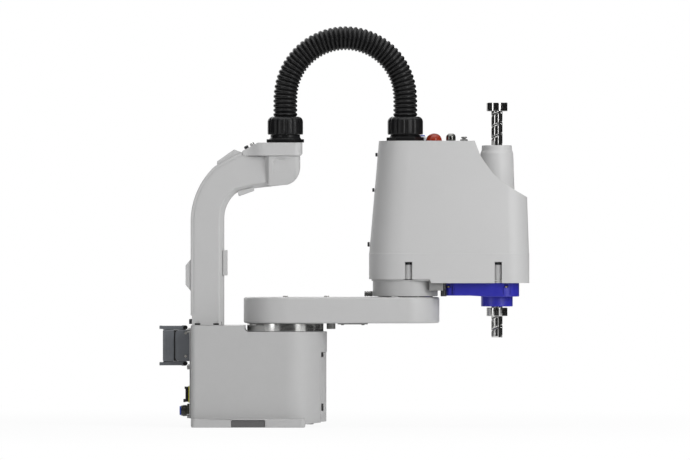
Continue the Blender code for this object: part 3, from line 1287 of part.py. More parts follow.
def make_drives(arm_2, axes, black, steel, metal, rubber):
    """The three motors in the second arm, and the belts, pulleys and nuts of the shaft."""
    plate_top = MOTOR_PLATE_Z + MOTOR_PLATE_THICKNESS
    make_motor("j2_motor", J2_MOTOR_SIZE, J2_MOTOR_LENGTH, PLATE_TOP + SEAT, (J2_X, 0, 0), arm_2, black,
               ARM_2_PLATE_THICKNESS)
    make_motor("j4_motor", MOTOR_SIZE, MOTOR_LENGTH, PLATE_TOP + SEAT, (*TURN_MOTOR_PLACE, 0), arm_2,
               black)
    half = MOTOR_SIZE / 2
    lift_low = plate_top + SEAT
    frame = rounded_box(-half, half, -half, half, MOTOR_SIZE * MOTOR_CORNER, 2)
    lift = prism(frame, lift_low, lift_low + MOTOR_LENGTH)
    add_piece("j3_motor", lift, black, arm_2, (*LIFT_MOTOR_PLACE, 0))
    brake_low = lift_low + MOTOR_LENGTH + SEAT
    brake = turned(rod(BRAKE_RADIUS, brake_low, brake_low + BRAKE_HEIGHT))
    add_piece("z_axis_brake", brake, metal, arm_2, (*LIFT_MOTOR_PLACE, 0))
    make_motor_plate(arm_2, metal)
    make_bearing("spline_bearing", PLATE_Z, arm_2, steel)
    make_bearing("ball_screw_bearing", MOTOR_PLATE_Z, arm_2, steel)
    make_belt("j3_belt", LIFT_MOTOR_PLACE, HIGH_PULLEY_Z, arm_2, rubber)
    make_belt("j4_belt", TURN_MOTOR_PLACE, LOW_PULLEY_Z, arm_2, rubber)
    make_pulley_nut("ball_screw_nut", PLATE_TOP + SCREW_NUT_LIFT, plate_top + SCREW_NUT_PROUD,
                    HIGH_PULLEY_Z, axes["ball_screw_nut"], steel)
    boss_low = PLATE_Z - SEAT - LOWER_COVER_DEPTH - BOSS_HEIGHT
    make_pulley_nut("spline_nut", boss_low + SPLINE_NUT_INSET, PLATE_TOP + SPLINE_NUT_PROUD,
                    LOW_PULLEY_Z, axes["spline_nut"], steel)
    make_motor_pulley("j3_motor_pulley", HIGH_PULLEY_Z, plate_top, LIFT_MOTOR_PLACE,
                      axes["j3_motor_pulley"], metal)
    make_motor_pulley("j4_motor_pulley", LOW_PULLEY_Z, PLATE_TOP, TURN_MOTOR_PLACE,
                      axes["j4_motor_pulley"], metal)


def shaft_outline():
    """The shaft's section, with its ball grooves."""
    points = []
    steps = 36
    for i in range(steps):
        angle = 360 * i / steps
        apart = min(abs((angle - 360 * k / SHAFT_GROOVES + 180) % 360 - 180) for k in range(SHAFT_GROOVES))
        chord = SHAFT_RADIUS * math.radians(apart)
        radius = SHAFT_RADIUS
        if chord < SHAFT_GROOVE_RADIUS:
            radius -= math.sqrt(SHAFT_GROOVE_RADIUS ** 2 - chord ** 2) * SHAFT_GROOVE_DEPTH
        turn = math.radians(angle)
        points.append((radius * math.cos(turn), radius * math.sin(turn)))
    return points


def make_shaft(parent, steel):
    """The hollow shaft and the two collars that limit its stroke."""
    low, high = ARM_2_Z - SHAFT_BELOW, ARM_2_Z + SHAFT_ABOVE
    shaft = add_piece("shaft", prism(shaft_outline(), low, high), steel, parent, (SHAFT_X, 0, 0))
    cut(shaft, turned(rod(SHAFT_BORE, low - THROUGH, high + THROUGH)), (SHAFT_X, 0, 0))
    bottoms = {"upper": high - COLLAR_HEIGHT, "lower": ARM_2_Z - LOWER_COLLAR_DROP}
    for word, foot in bottoms.items():
        profile = chamfered_ring(
            COLLAR_RADIUS, SHAFT_RADIUS + SEAT, foot, foot + COLLAR_HEIGHT, COLLAR_EDGE
        )
        add_piece(word + "_collar", turned(profile), steel, parent, (SHAFT_X, 0, 0))


def make_top_fittings(arm_2, button_axis, lens, black, white, metal):
    """The lamp, air fittings and brake release button on top of the cover, and the screws behind."""
    top = COVER_TOP_Z + SEAT
    base = rod(LAMP_RADIUS, top, top + LAMP_BASE_HEIGHT)
    add_piece("lamp_base", turned(base), black, arm_2, (J2_X + LAMP_X, 0, 0))
    dome_foot = top + LAMP_BASE_HEIGHT + SEAT
    dome = [(0, dome_foot)] + arc((0, dome_foot), (LAMP_RADIUS - SEAT, LAMP_DOME_HEIGHT), 0, 80, 4)
    dome.append((0, dome_foot + LAMP_DOME_HEIGHT))
    add_piece("lamp_dome", turned(dome), lens, arm_2, (J2_X + LAMP_X, 0, 0))
    for name, place, radius, height, colour in (
        ("air_fitting_black", (J2_X + FITTING_X, 0), FITTING_RADIUS, FITTING_HEIGHT, black),
        ("air_fitting_white", (J2_X + WHITE_FITTING[0], WHITE_FITTING[1]), WHITE_FITTING_RADIUS,
         WHITE_FITTING_HEIGHT, white),
    ):
        waist = radius - CHAMFER
        collar_low = top + height / 3
        profile = [
            (FITTING_BORE, top), (waist, top), (waist, collar_low), (radius, collar_low + CHAMFER / 2),
            (radius, top + height - CHAMFER), (waist, top + height), (FITTING_BORE, top + height),
        ]
        add_piece(name, turned(profile, 20), colour, arm_2, (*place, 0))
    bezel = ring(BUTTON_BEZEL_RADIUS, BUTTON_STEM_RADIUS + RUN, top, top + BUTTON_BEZEL_HEIGHT)
    add_piece("button_bezel", turned(bezel), metal, arm_2, (J2_X + BUTTON_X, 0, 0))
    cap_foot = top + BUTTON_BEZEL_HEIGHT + BUTTON_TRAVEL + SEAT
    cap = [
        (0, top + BUTTON_TRAVEL + SEAT), (BUTTON_STEM_RADIUS, top + BUTTON_TRAVEL + SEAT),
        (BUTTON_STEM_RADIUS, cap_foot), (BUTTON_RADIUS, cap_foot),
        (BUTTON_RADIUS, cap_foot + BUTTON_CAP_HEIGHT - CHAMFER / 2),
        (BUTTON_RADIUS - CHAMFER / 2, cap_foot + BUTTON_CAP_HEIGHT), (0, cap_foot + BUTTON_CAP_HEIGHT),
    ]
    add_piece("brake_button", turned(cap, 20), metal, button_axis, (J2_X + BUTTON_X, 0, 0))
    for height, radius, word in zip(COVER_SCREW_HEIGHTS, COVER_SCREW_RADII, ("bottom", "middle", "top")):
        low_x = rear_face_x(height - radius)
        screw = [
            (0, -COVER_SCREW_LENGTH), (radius - CHAMFER, -COVER_SCREW_LENGTH),
            (radius, -COVER_SCREW_LENGTH + CHAMFER),
            (radius, -SEAT), (0, -SEAT),
        ]
        add_piece("cover_screw_" + word, turned(screw, 12, "X"), metal, arm_2, (low_x, 0, ARM_2_Z + height))


def main():
    """Build the whole robot."""
    clear_scene()
    paint = make_material("light grey paint", (0.62, 0.62, 0.61), 0.45)
    plastic = make_material("light grey plastic", (0.68, 0.68, 0.68), 0.5)
    dark = make_material("dark grey plate", (0.10, 0.10, 0.10), 0.6)
    black = make_material("black plastic", (0.015, 0.015, 0.016), 0.4)
    steel = make_material("bright steel", (0.55, 0.55, 0.55), 0.2, 1.0)
    metal = make_material("aluminium", (0.5, 0.5, 0.5), 0.4, 1.0)
    grey = make_material("connector grey", (0.09, 0.10, 0.12), 0.45)
    blue = make_material("blue plastic", (0.03, 0.03, 0.35), 0.4)
    lens = make_material("orange lens", (0.65, 0.08, 0.02), 0.15)
    white = make_material("white plastic", (0.75, 0.77, 0.8), 0.35)
    yellow = make_material("yellow plastic", (0.45, 0.42, 0.03), 0.5)
    rubber = make_material("belt rubber", (0.02, 0.02, 0.02), 0.8)

    base = make_axis("base", (0, 0, 0))
    arm_1 = make_axis("joint_1_axis", (0, 0, ARM_1_Z), base)
    arm_2 = make_axis("joint_2_axis", (J2_X, 0, ARM_2_Z), arm_1)
    shaft = make_axis("shaft_axis", (SHAFT_X, 0, ARM_2_Z), arm_2)
    axes = {
        "ball_screw_nut": make_axis("ball_screw_nut_axis", (SHAFT_X, 0, MOTOR_PLATE_Z), arm_2),
        "spline_nut": make_axis("spline_nut_axis", (SHAFT_X, 0, PLATE_Z), arm_2),
        "j3_motor_pulley": make_axis("j3_motor_axis", (*LIFT_MOTOR_PLACE, MOTOR_PLATE_Z), arm_2),
        "j4_motor_pulley": make_axis("j4_motor_axis", (*TURN_MOTOR_PLACE, PLATE_Z), arm_2),
    }
    button = make_axis("button_axis", (J2_X + BUTTON_X, 0, COVER_TOP_Z), arm_2)
    pivot = REAR_PANEL_X - SEAT - LEVER_PIVOT_BACK
    half = SEAT + LEVER_THICKNESS / 2
    levers = (
        make_axis("upper_lever_axis", (pivot, 0, CONNECTOR_BOTTOM + CONNECTOR_HEIGHT + half), base),
        make_axis("lower_lever_axis", (pivot, 0, CONNECTOR_BOTTOM - half), base),
    )

    make_base(base, paint, dark)
    make_first_joint(base, arm_1, steel, black)
    make_connector(base, levers, grey, black, yellow)
    make_duct(base, paint, steel)
    make_gland("duct_gland", LID_TOP + SEAT, 0, base, black)
    make_arm_1(arm_1, paint, dark, steel)
    make_conduit(arm_1, black)
    make_arm_2(arm_2, paint, steel)
    make_cover(arm_2, plastic)
    make_lower_cover(arm_2, blue)
    make_gland("arm_gland", COVER_TOP_Z + SEAT, J2_X, arm_2, black)
    make_drives(arm_2, axes, black, steel, metal, rubber)
    make_top_fittings(arm_2, button, lens, black, white, metal)
    make_shaft(shaft, steel)


main()
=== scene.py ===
"""The looks of the small SCARA robot: finishes, fine shapes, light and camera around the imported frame.

Metres, +Z up. +X points along the stretched arm, and the camera looks along +Y.
"""
import json
import math

import bmesh
import bpy
from mathutils import Matrix, Vector


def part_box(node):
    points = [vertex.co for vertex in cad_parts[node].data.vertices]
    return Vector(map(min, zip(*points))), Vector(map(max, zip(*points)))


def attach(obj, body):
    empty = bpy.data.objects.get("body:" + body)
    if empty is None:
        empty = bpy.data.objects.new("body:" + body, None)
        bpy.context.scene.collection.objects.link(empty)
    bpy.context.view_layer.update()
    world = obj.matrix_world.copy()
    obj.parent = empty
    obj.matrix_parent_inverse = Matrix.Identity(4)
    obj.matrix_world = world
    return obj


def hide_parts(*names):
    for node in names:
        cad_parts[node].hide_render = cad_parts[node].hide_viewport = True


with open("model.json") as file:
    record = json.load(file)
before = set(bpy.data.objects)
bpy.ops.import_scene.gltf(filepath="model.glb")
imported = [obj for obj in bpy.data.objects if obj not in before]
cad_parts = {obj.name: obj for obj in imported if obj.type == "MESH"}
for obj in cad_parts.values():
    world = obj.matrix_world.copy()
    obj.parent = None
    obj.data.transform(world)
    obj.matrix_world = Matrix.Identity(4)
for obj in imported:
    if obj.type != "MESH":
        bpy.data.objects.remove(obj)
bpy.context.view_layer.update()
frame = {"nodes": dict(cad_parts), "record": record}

# Fits, and how far a cutter reaches past what it cuts
SEAT = 0.0003
HAIR = 0.0001
OVERSHOOT = 0.002
CLEAR = 0.01
MERGE = 0.0004
SIDES = ((-1, "left"), (1, "right"))

# Facets of a full turn
HOLE_STEPS = 32
ROUND_STEPS = 64
WIDE_STEPS = 96

# Camera, from the size of the photograph's frame at the plane of the arm
VIEW_WIDTH = 0.9777
VIEW_CENTRE = (0.0846, 0.2783)
VIEW_DISTANCE = 12.0
SENSOR_WIDTH = 36.0

# Soft boxes: place, size and power
LAMPS = {
    "key": ((1.95, -2.0, 1.25), (1.5, 1.7), 50),
    "fill": ((-1.55, -2.2, 0.75), (0.9, 1.6), 9.0),
    "top": ((0.1, -0.3, 2.4), (2.2, 1.8), 18),
    "rear": ((-0.6, 2.2, 1.3), (1.8, 1.2), 11),
}
WORLD_GREY = (0.25, 0.25, 0.255, 1)
FLOOR_REACH = 30
FLOOR_GREY = 0.9
FLOOR_GLOW = {"From Min": 0.25, "From Max": 1.3, "To Min": 0.92, "To Max": 1.0}

# Cards that only gloss sees: start and end angle from the camera's side, and grey
CARD_DISTANCE = 1.5
CARD_THICKNESS = 0.02
CARD_LEVELS = (0.0, 0.135, 1.5)
HIGH_CARDS = {"card_camera": (-36, 30, 0.01), "card_right": (42, 178, 0.01), "card_left": (-134, -50, 0.01)}
LOW_CARDS = {
    "card_camera_low": (-20, 28, 0.04),
    "card_right_low": (61, 178, 0.04),
    "card_left_low": (-134, -104, 0.05),
    "card_left_grey": (-104, -66, 0.16),
    "card_left_pale": (-66, -20, 0.85),
}

# Base
STEP_BACK = 0.057
STEP_FILLET = 0.0055
UNDERSIDE_LIFT = 0.0015
NOSE_LIFT = (0.0042, 0.0070)
NOSE_RUN = 0.001
FOOT_HEIGHT = 0.012
FOOT_FRONT = 0.0283
FOOT_CORNER = 0.006
FOOT_EDGE = 0.0010
FOOT_HOLE_RADIUS = 0.0045
CAP_CORNER = 0.0022
BASE_CORNER = 0.008
BASE_EDGE = 0.0022
FRONT_COVER_TOP = 0.1055
FRONT_COVER_EDGE = 0.0007
PULL_SLOTS = ((0.0985, 0.0085), (0.0225, 0.0105))   # foot and height
PULL_SLOT_HALF_WIDTH = 0.0016
PULL_SLOT_CORNER = 0.0007
PULL_SLOT_DEPTH = 0.012
PULL_SLOT_PLACE = 0.86   # share of the cover's half angle
NOSE_BOLT = (0.0055, 0, 0.0022)   # radius, foot and top
NOSE_BOLT_PLACE = (0.0345, 0, 0.0030)
PLATE_EDGE = 0.0004
PANEL_CORNER = 0.003
PANEL_SCREW = (0.0032, 0.0036)
PANEL_SCREW_SIDE = 0.0455
PANEL_SCREW_LEVELS = (0.0158, 0.0846, 0.1360)

# First arm
RING_BORE = 0.020
RING_EDGE = 0.0007
ARM_EDGE = 0.0030
REDUCER_SEAT = 0.0025
ARM_PLATE_CORNER = 0.013
ARM_PLATE_SCREW = (0.0022, 0.0012)
ARM_PLATE_SCREW_INSET = 0.007

# Second arm's casting and stops: heights are above the hub's foot
HUB_RADIUS = 0.0460
HUB_EDGE = 0.0012
CABLE_HOLE_RADIUS = 0.010
MOTOR_HOLE_RADIUS = 0.0045
CASTING_GAP = 0.0006
DROP_BLOCK = (0.0330, 0.0537)
DROP_BLOCK_HALF_WIDTH = 0.0430
DROP_BLOCK_DEPTH = 0.0134
DROP_BLOCK_CORNER = 0.0025
DROP_BLOCK_EDGE = 0.0008
BOLT_PLUS = 0.0006
BOLT_GROOVES = ((0.0022, 0.0033), (0.0058, 0.0070))
PIN_GROOVES = ((0.0085, 0.0109),)

# Second arm's cover
COVER_LIP = 0.0240
COVER_FRONT_LIP = 0.0187
COVER_LIP_STEP = 0.0345
COVER_LIP_RUN = 0.0015
COVER_DRAFT_START = 0.0607
COVER_LINE_STEP = 0.0003   # the cover is this much slimmer above the line where its draft starts
COVER_HALF_WIDTHS = (0.0500, 0.0440)
COVER_REARS = (0.0514, 0.0375)
COVER_NOSES = (0.0457, 0.0430)
COVER_NOSE_CORNER = 0.033
COVER_BOW = 0.0060
COVER_BOW_ANGLE = 4.8
COVER_WALL = 0.003
COVER_EDGE = 0.0014
COVER_TOP_END = 0.0320
COVER_SCOOP = ((-0.0234, 0.1986), (-0.0119, 0.1813), (0.0011, 0.1667), (0.0222, 0.1519))
COVER_SHOULDER = 0.1400
COVER_SLOTS = (0.0044, 0.1310)
SLOT_WIDTH = 0.0102
SLOT_TOP = 0.0486
SLOT_DEPTH = 0.0115
SLOT_WALL = 0.0024
POST_RADIUS = 0.0058
POST_DEPTH = 0.0050
POST_TOP = 0.0446
SLOT_SCREW = (POST_RADIUS * 0.78, 0.0034)
TUBE_FOOT = 0.1150
TUBE_STEP = 0.2028
TUBE_STEP_HEIGHT = 0.0036
TUBE_TOP = 0.2138
TUBE_RADII = (0.0262, 0.0232, 0.0215, 0.0212)
TUBE_EDGE = 0.0016
TUBE_BORE = 0.0175

# Lower cover: places along X are from the shaft's axis
BLUE_WALL = 0.0025
BLUE_END_WALL = 0.0100
BLUE_CORNERS = (0.010, 0.024)
BLUE_EDGE = 0.0014
BLUE_TAPER_END = -0.038
BLUE_WAIST = (0.0022, -0.008)   # how much slimmer the rear is, and where that starts
BLUE_RISE = (0.0014, -0.010)
BLUE_SCREWS = (0.2306, 0.3124)
BLUE_SCREW = (0.0019, 0.0021)
BLUE_SCREW_DEPTH = 0.0025
BLUE_LEDGE = 0.1968
BLUE_FRONT = -0.03
BLUE_GROOVE_LIFT = 0.0030
RIM_STEP = (0.0008, 0.003, 0.0016)   # ends, sides and height
BOSS_RADIUS = 0.0225
BOSS_HEIGHT = 0.0140
BOSS_BORE = 0.016
BOSS_EDGE = 0.0009

# Shaft
SHAFT_BORE = 0.0055
SHAFT_LEAD = 0.016
SHAFT_STEPS = (96, 320)
SHAFT_END_EDGE = 0.0004
GROOVE_COUNT = 3
GROOVE_WIDTH = 0.0022
GROOVE_DEPTH = 0.0014
GROOVE_START = 304.0
THREAD_WIDTH = 0.0011
THREAD_DEPTH = 0.0010
THREAD_SLANT = 0.30   # the way across a thread as a share of the way round the shaft
# How far inside the shaft the near-black tube lies: grease, and painted shade in the grooves
GREASE_AND_SHADE_DEPTH = 0.0006
COLLAR_EDGE = 0.0008
COLLAR_HOLE_RADIUS = 0.0018
COLLAR_HOLES = (0, 120)

# Conduit and glands. Levels are from the piece's foot, and a shoulder's from its top
CONDUIT_STRAIGHT = 0.140
CONDUIT_EASE = 0.05
CONDUIT_RADIUS = 0.0170
CONDUIT_RINGS = 59
CONDUIT_RING_STEPS = 10
CONDUIT_DEPTH = 0.0021
CONDUIT_CREST = 2.2   # above 1 makes the crests wide and the valleys narrow
GLAND_BORE = 0.0140
GLAND_HEXAGON_HEIGHT = 0.0048
GLAND_NECK = ((0.0230, 0.0042), (0.0220, 0.0062), (0.0210, 0.0072))   # radius and level
GLAND_EDGE = 0.0006
NUT_GRIPS = 12
NUT_GRIP_STEPS = 10
NUT_GRIP_DEPTH = 0.0011
NUT_GRIP_WIDTH = 0.34
NUT_FOOT = ((0.0006, 0.2, 0.0), (0, 0.7, 0.0012), (0, 1.0, 0.0030))   # inset, share of grip, level
NUT_SHOULDER = ((0, 1.0, 0.0066), (0.0008, 0.9, 0.0040), (0.0024, 0.75, 0.0018), (0.0044, 0.5, 0.0006),
                (0.0060, 0.3, 0.0))
NUT_CLEARANCE = 0.0005

# Cable duct: heights are above the deck
DUCT_REAR = 0.1338
DUCT_FRONT = 0.0866
DUCT_WALL = 0.003
DUCT_HOLLOW_WALL = 0.0072
DUCT_HALF_WIDTH = 0.019
DUCT_HEAD_HALF_WIDTH = 0.0285
DUCT_BEND_CENTRE = 0.1465
DUCT_BEND_FORWARD = 0.1078
DUCT_BEND_ANGLE = 133.0
DUCT_BEND_STEPS = 28
DUCT_INNER_BEND_CENTRE = 0.1511
DUCT_INNER_BEND_RADIUS = 0.0468
DUCT_INNER_BEND_ANGLE = 128.0
DUCT_INNER_BEND_STEPS = 20
DUCT_SLOPE_END = (-0.0610, 0.2455)
DUCT_TONGUE_END = -0.0520
DUCT_UNDERSIDE = ((-0.0450, 0.1937), (-0.0040, 0.1984))
DUCT_NOSE = 0.0211
DUCT_NOSE_ARC = (0.0230, 0.0262)
DUCT_FLARE = (-0.0272, -0.0222)
DUCT_FLARE_SHARES = (0.02, 0.06)   # how much of the flare the foot and the head's underside have
DUCT_HEAD_CORNER = 0.012
DUCT_CHAMFER = 0.0066
DUCT_EDGE = 0.0013
DUCT_TRIM = 0.008
DUCT_SEAL_HEIGHT = 0.0050
DUCT_SEAL_WALL = 0.0060
DUCT_SEAL_CORNERS = (0.0020, 0.0040)
DUCT_SEAL_EDGE = 0.0005
DUCT_GROOVE = (0.0043, 0.0050, 0.0006)
DUCT_GROOVE_FOOT = 0.0165
HEAD_DRAFT_HEIGHT = 0.0445
HEAD_DRAFT = (1 - DUCT_FLARE_SHARES[1]) * (DUCT_HEAD_HALF_WIDTH - DUCT_HALF_WIDTH) / HEAD_DRAFT_HEIGHT
HEAD_ROOM = 0.1
HEAD_PANEL = (-0.0180, 0.0090)
HEAD_PANEL_DROPS = (0.0012, 0.0330)
HEAD_PANEL_DEPTH = 0.0045
HEAD_PANEL_CORNERS = (0.007, 0.006)
HEAD_PANEL_INSETS = (0.0016, 0.0080, 0.0070, 0.0040)   # of the panel's floor: rear, front, foot and top
PAD_HALF_WIDTH = 0.0165
PAD_SINK = 0.0015
PAD_EDGE = 0.0008
COLUMN_REAR_PAD = (0.0466, 0.0948, 0.0072, 0.0072, 0.0103, 0.0103)
COLUMN_FRONT_PAD = (0.0702, 0.1062, 0.0046, 0.0046, 0.0, 0.0)
SLOPE_PAD = (0.0025, 0.0437, 0.0045, 0.0083, 0.0034, 0.0087)
UNDERSIDE_PAD = (0.0015, 0.0245, 0.0060, 0.0035, 0.0, 0.0)
COLUMN_NOTCH = (0.0018, 0.0150, 0.006)   # depth, height, and how far its slope climbs on
FOOT_SLOTS = ((-0.1280, -0.1200), (-0.1018, -0.0938))
FOOT_SLOT = (0.0006, 0.0028, 0.0060)   # foot, top and depth
FOOT_WEDGE = (0.0025, 0.0105, 0.0016, 0.0015)   # foot, top, depth and inset from the slot's ends
LID_EDGE = 0.0007
LID_PROUD = 0.0015
LID_SWING = (-0.0570, -0.0300)
LID_SWING_STEPS = 10
LID_CORNER_X = -0.0592
LID_OVERHANG = 0.0031
LID_SLOPE_RUN = 0.0223
LID_LIP = (0.0008, 0.0012)
LID_SCREW = (0.0030, 0.0040)
LID_SCREW_SIDE = 0.0135
LID_SCREWS = ((0.34, "upper", "turned_steel"), (0.72, "lower", "dark_steel"))   # share of the slope

# Power connector
HOOD_SET_BACK = 0.0014
HOOD_RAISE = 0.0008
HOOD_CORNER = 0.0016
HOOD_EDGE = 0.0014
HOOD_WALL = 0.0035
HOOD_GROOVES = (0.0052, 0.0092)
HOOD_GROOVE = (0.0006, 0.0007, 0.007)   # half width, depth and distance from the hood's ends
# A near-black band behind the housing's front, larger than its outline: painted shade in the gap round the
# housing
HOOD_GAP_SHADE = (-0.0004, 0.0080)
HOOD_GAP_SHADE_OUTLINE = (0.001, 0.0008, 0.0002)   # corner, and gaps at the sides and at top and foot
HOUSING_GAP = 0.0012
HOUSING_CORNERS = (0.0055, 0.001)
HOUSING_EDGE = 0.0012
HOUSING_SCREW = (0.0020, 0.0013)
HOUSING_SCREW_BACK = 0.0056
HOUSING_SCREW_LEVELS = (0.0042, 0.0072)   # from the top and from the foot
HOUSING_SCREW_HOLE = (0.0024, 0.0010)
LEVER_THICKNESS = 0.0062
LEVER_TIP = (0.0048, 0.0051)
LEVER_HOOK = (0.0005, 0.0004)
LEVER_RELIEF = (0.0060, 0.0075, 0.0085, 0.0006)
LEVER_EDGE = 0.0010
LEVER_PIN = (0.0030, 0.0009)   # radius, and how far it stands out at each end

# Signal connector and air inlet
SIGNAL_PLATE = 0.0020
SIGNAL_INSET = (0.0012, 0.0006)
SIGNAL_MOUTH = (0.0045, 0.0048, 0.0030)
SIGNAL_CORNERS = (0.003, 0.0025, 0.0015)
SIGNAL_EDGE = 0.0005
SIGNAL_SCREWS = ((-0.0028, 0.0019, 0.0014), (0.0030, 0.0024, 0.0032))   # from top or foot, radius and height
INLET_BODY = ((0.0076, 0.0046), (0.0081, 0.0062), (0.0081, 0.0098), (0.0074, 0.0106))
INLET_FLANGE = 0.0036
INLET_BORE = 0.003
INLET_RING = (0.0068, 0.0064, 0.0024)   # radii and height

# Fittings on the cover: radii and heights as shares of the fitting's own
LAMP_STEP = (0.0012, 0.0004)
LENS_WALL = 0.0009
LENS = ((1, 0), (1, 0.12), (0.955, 0.32), (0.86, 0.55), (0.68, 0.78), (0.44, 0.93), (0.2, 0.99), (0, 1))
FITTING_BORE = 0.0019
FITTING_BLACK = ((1, 0.60), (0.86, 0.84), (0.56, 0.985))
FITTING_MOUTH = (0.0034, 0.0026, 0.0012)
FITTING_WHITE = (0.72, 0.80)
FITTING_RING = ((0.66, 0.81), (0.60, 1.0))
BEZEL_BORE = 0.0031
BUTTON_STEM = 0.0026
BUTTON_CAP = (0.0022, 0.0006, 0.0008, 0.0003)

# Screws: socket's share of the head's radius, its foot's share of the height, and edge
SOCKET_SHARE = 0.5
SOCKET_FOOT = 0.45
SCREW_EDGE = 0.0008

CAST = {"tint": 0.02, "grain": 520, "bump": 0.25, "depth": 0.00012}
MOULDED = {"tint": 0.015, "grain": 1100, "bump": 0.22}
PLASTIC = {"grain": 900, "bump": 0.1}
METAL = {"metallic": 1.0, "grain": 900, "bump": 0.3}
LATHED = {"metallic": 1.0, "grain": 260, "stretch": (1, 1, 14)}


def grey(level, blue=0.0):
    """A grey, or one that leans to blue or away from it."""
    return (level, level, level + blue)


# Finishes: the record's slot, colour, roughness, and what differs from surface()'s own values
FINISHES = {
    "paint": ("painted_casting", grey(0.45, -0.002), 0.42, CAST),
    "arm_paint": ("painted_casting", grey(0.480, -0.002), 0.42, CAST),
    # Darker than the arm's paint: painted shade on the hub under the cover's lip
    "hub_painted_shade": ("painted_casting", grey(0.41, -0.002), 0.42, CAST),
    # Far darker than the hub's paint: painted shade on the drop block under the cover's overhang
    "painted_shade_casting": ("painted_casting", grey(0.225, -0.002), 0.45, CAST | {"tint": 0.03}),
    "cover": ("grey_plastic", grey(0.503, -0.002), 0.46, MOULDED),
    "duct": ("grey_plastic", grey(0.495, -0.002), 0.48, MOULDED),
    # Dark grey: painted shade on the plate under the first arm
    "dark": ("dark_plate", grey(0.1), 0.6, {"tint": 0.08, "grain": 900, "bump": 0.4}),
    # Dark grey: painted shade in the notches of the foot, where the caps sit
    "foot_cap": ("dark_plate", grey(0.1), 0.55, {"tint": 0.08, "grain": 900, "bump": 0.4}),
    "black": ("black_plastic", grey(0.007, 0.0004), 0.34,
              {"tint": 0.25, "grain": 800, "bump": 0.25, "specular": 0.24}),
    "hose": ("black_plastic", grey(0.005, 0.0003), 0.36,
             {"tint": 0.25, "grain": 600, "bump": 0.3, "specular": 0.28}),
    # Near-black rubber for the duct's seal; the same near-black is painted shade on the nose bolt, the band
    # round the plug, and partly in the shaft's grooves
    "gasket_and_shade": ("black_plastic", grey(0.01), 0.6, {"tint": 0.2, "grain": 600, "bump": 0.3, "specular": 0.2}),
    "motor": ("dark_plate", grey(0.02, 0.001), 0.5, {"tint": 0.2, "grain": 500, "bump": 0.5}),
    "rubber": ("black_plastic", grey(0.02), 0.75, {"tint": 0.2, "bump": 0.6}),
    "olive": ("black_plastic", grey(0.030, -0.008), 0.34, {"tint": 0.25, "bump": 0.3, "metallic": 0.4}),
    "chrome_black": ("black_plastic", grey(0.20, -0.01), 0.16, METAL | {"tint": 0.1, "bump": 0.08}),
    "steel": ("steel", grey(0.62, -0.01), 0.15, LATHED | {"tint": 0.06, "bump": 0.02, "rough_spread": 0.04}),
    "bright_steel": ("steel", grey(0.62, -0.01), 0.10,
                     {"metallic": 1.0, "grain": 260, "bump": 0.03, "rough_spread": 0.02}),
    "turned_steel": ("steel", grey(0.56, -0.01), 0.24, LATHED | {"tint": 0.08, "bump": 0.2}),
    "mid_steel": ("steel", grey(0.24, -0.005), 0.3, METAL | {"tint": 0.12, "metallic": 0.9}),
    "dark_steel": ("steel", grey(0.055, 0.003), 0.34, METAL | {"tint": 0.15, "metallic": 0.85, "bump": 0.25}),
    "screw": ("steel", (0.42, 0.41, 0.39), 0.3, METAL | {"tint": 0.12}),
    "brass": ("steel", (0.55, 0.46, 0.26), 0.3, METAL | {"tint": 0.1}),
    "aluminium": ("aluminium", grey(0.6), 0.34,
                  METAL | {"tint": 0.06, "grain": 420, "stretch": (1, 1, 6)}),
    "connector": ("connector_grey", (0.118, 0.126, 0.138), 0.44,
                  {"tint": 0.08, "grain": 600, "bump": 0.4, "depth": 0.00015}),
    "blue": ("blue_plastic", (0.018, 0.018, 0.34), 0.34, {"tint": 0.06, "grain": 900, "bump": 0.2}),
    "ring_blue": ("blue_plastic", (0.02, 0.06, 0.45), 0.32, PLASTIC | {"tint": 0.06}),
    "white": ("white_plastic", (0.66, 0.68, 0.71), 0.32, PLASTIC | {"tint": 0.03}),
    "yellow": ("yellow_plastic", (0.50, 0.47, 0.02), 0.45, {"tint": 0.06, "bump": 0.2}),
    "lens": ("lens_orange", (0.285, 0.026, 0.008), 0.20,
             {"tint": 0.1, "grain": 300, "bump": 0.05, "coat": 0.15, "specular": 0.3}),
}
MATERIALS = {}
PATCH_SCALE = 9.0
PATCH_SHARE = 0.65
NOISE_RANGE = (0.3, 0.7)
COAT_ROUGHNESS = 0.12

# Finishes of the nodes inside the robot and under it, whose shape stays
KEPT_NODES = {
    "motor": ("j1_motor", "j2_motor", "j3_motor", "j4_motor"),
    "turned_steel": ("j1_reducer", "j2_reducer", "spline_bearing", "ball_screw_bearing", "ball_screw_nut",
                     "spline_nut"),
    "aluminium": ("motor_plate", "z_axis_brake", "j3_motor_pulley", "j4_motor_pulley"),
    "rubber": ("j3_belt", "j4_belt"),
    # The foot caps' dark grey is painted shade in the foot's notches
    "foot_cap": ("foot_cap_left", "foot_cap_right"),
}


def corner_low(node):
    """A node's lowest corner."""
    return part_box(node)[0]


def corner_high(node):
    """A node's highest corner."""
    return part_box(node)[1]


def middle(node):
    """The middle of a node's box."""
    low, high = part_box(node)
    return (low + high) / 2


def half_size(node):
    """Half of a node's box, which along X, Y or Z is a round node's radius."""
    low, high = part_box(node)
    return (high - low) / 2


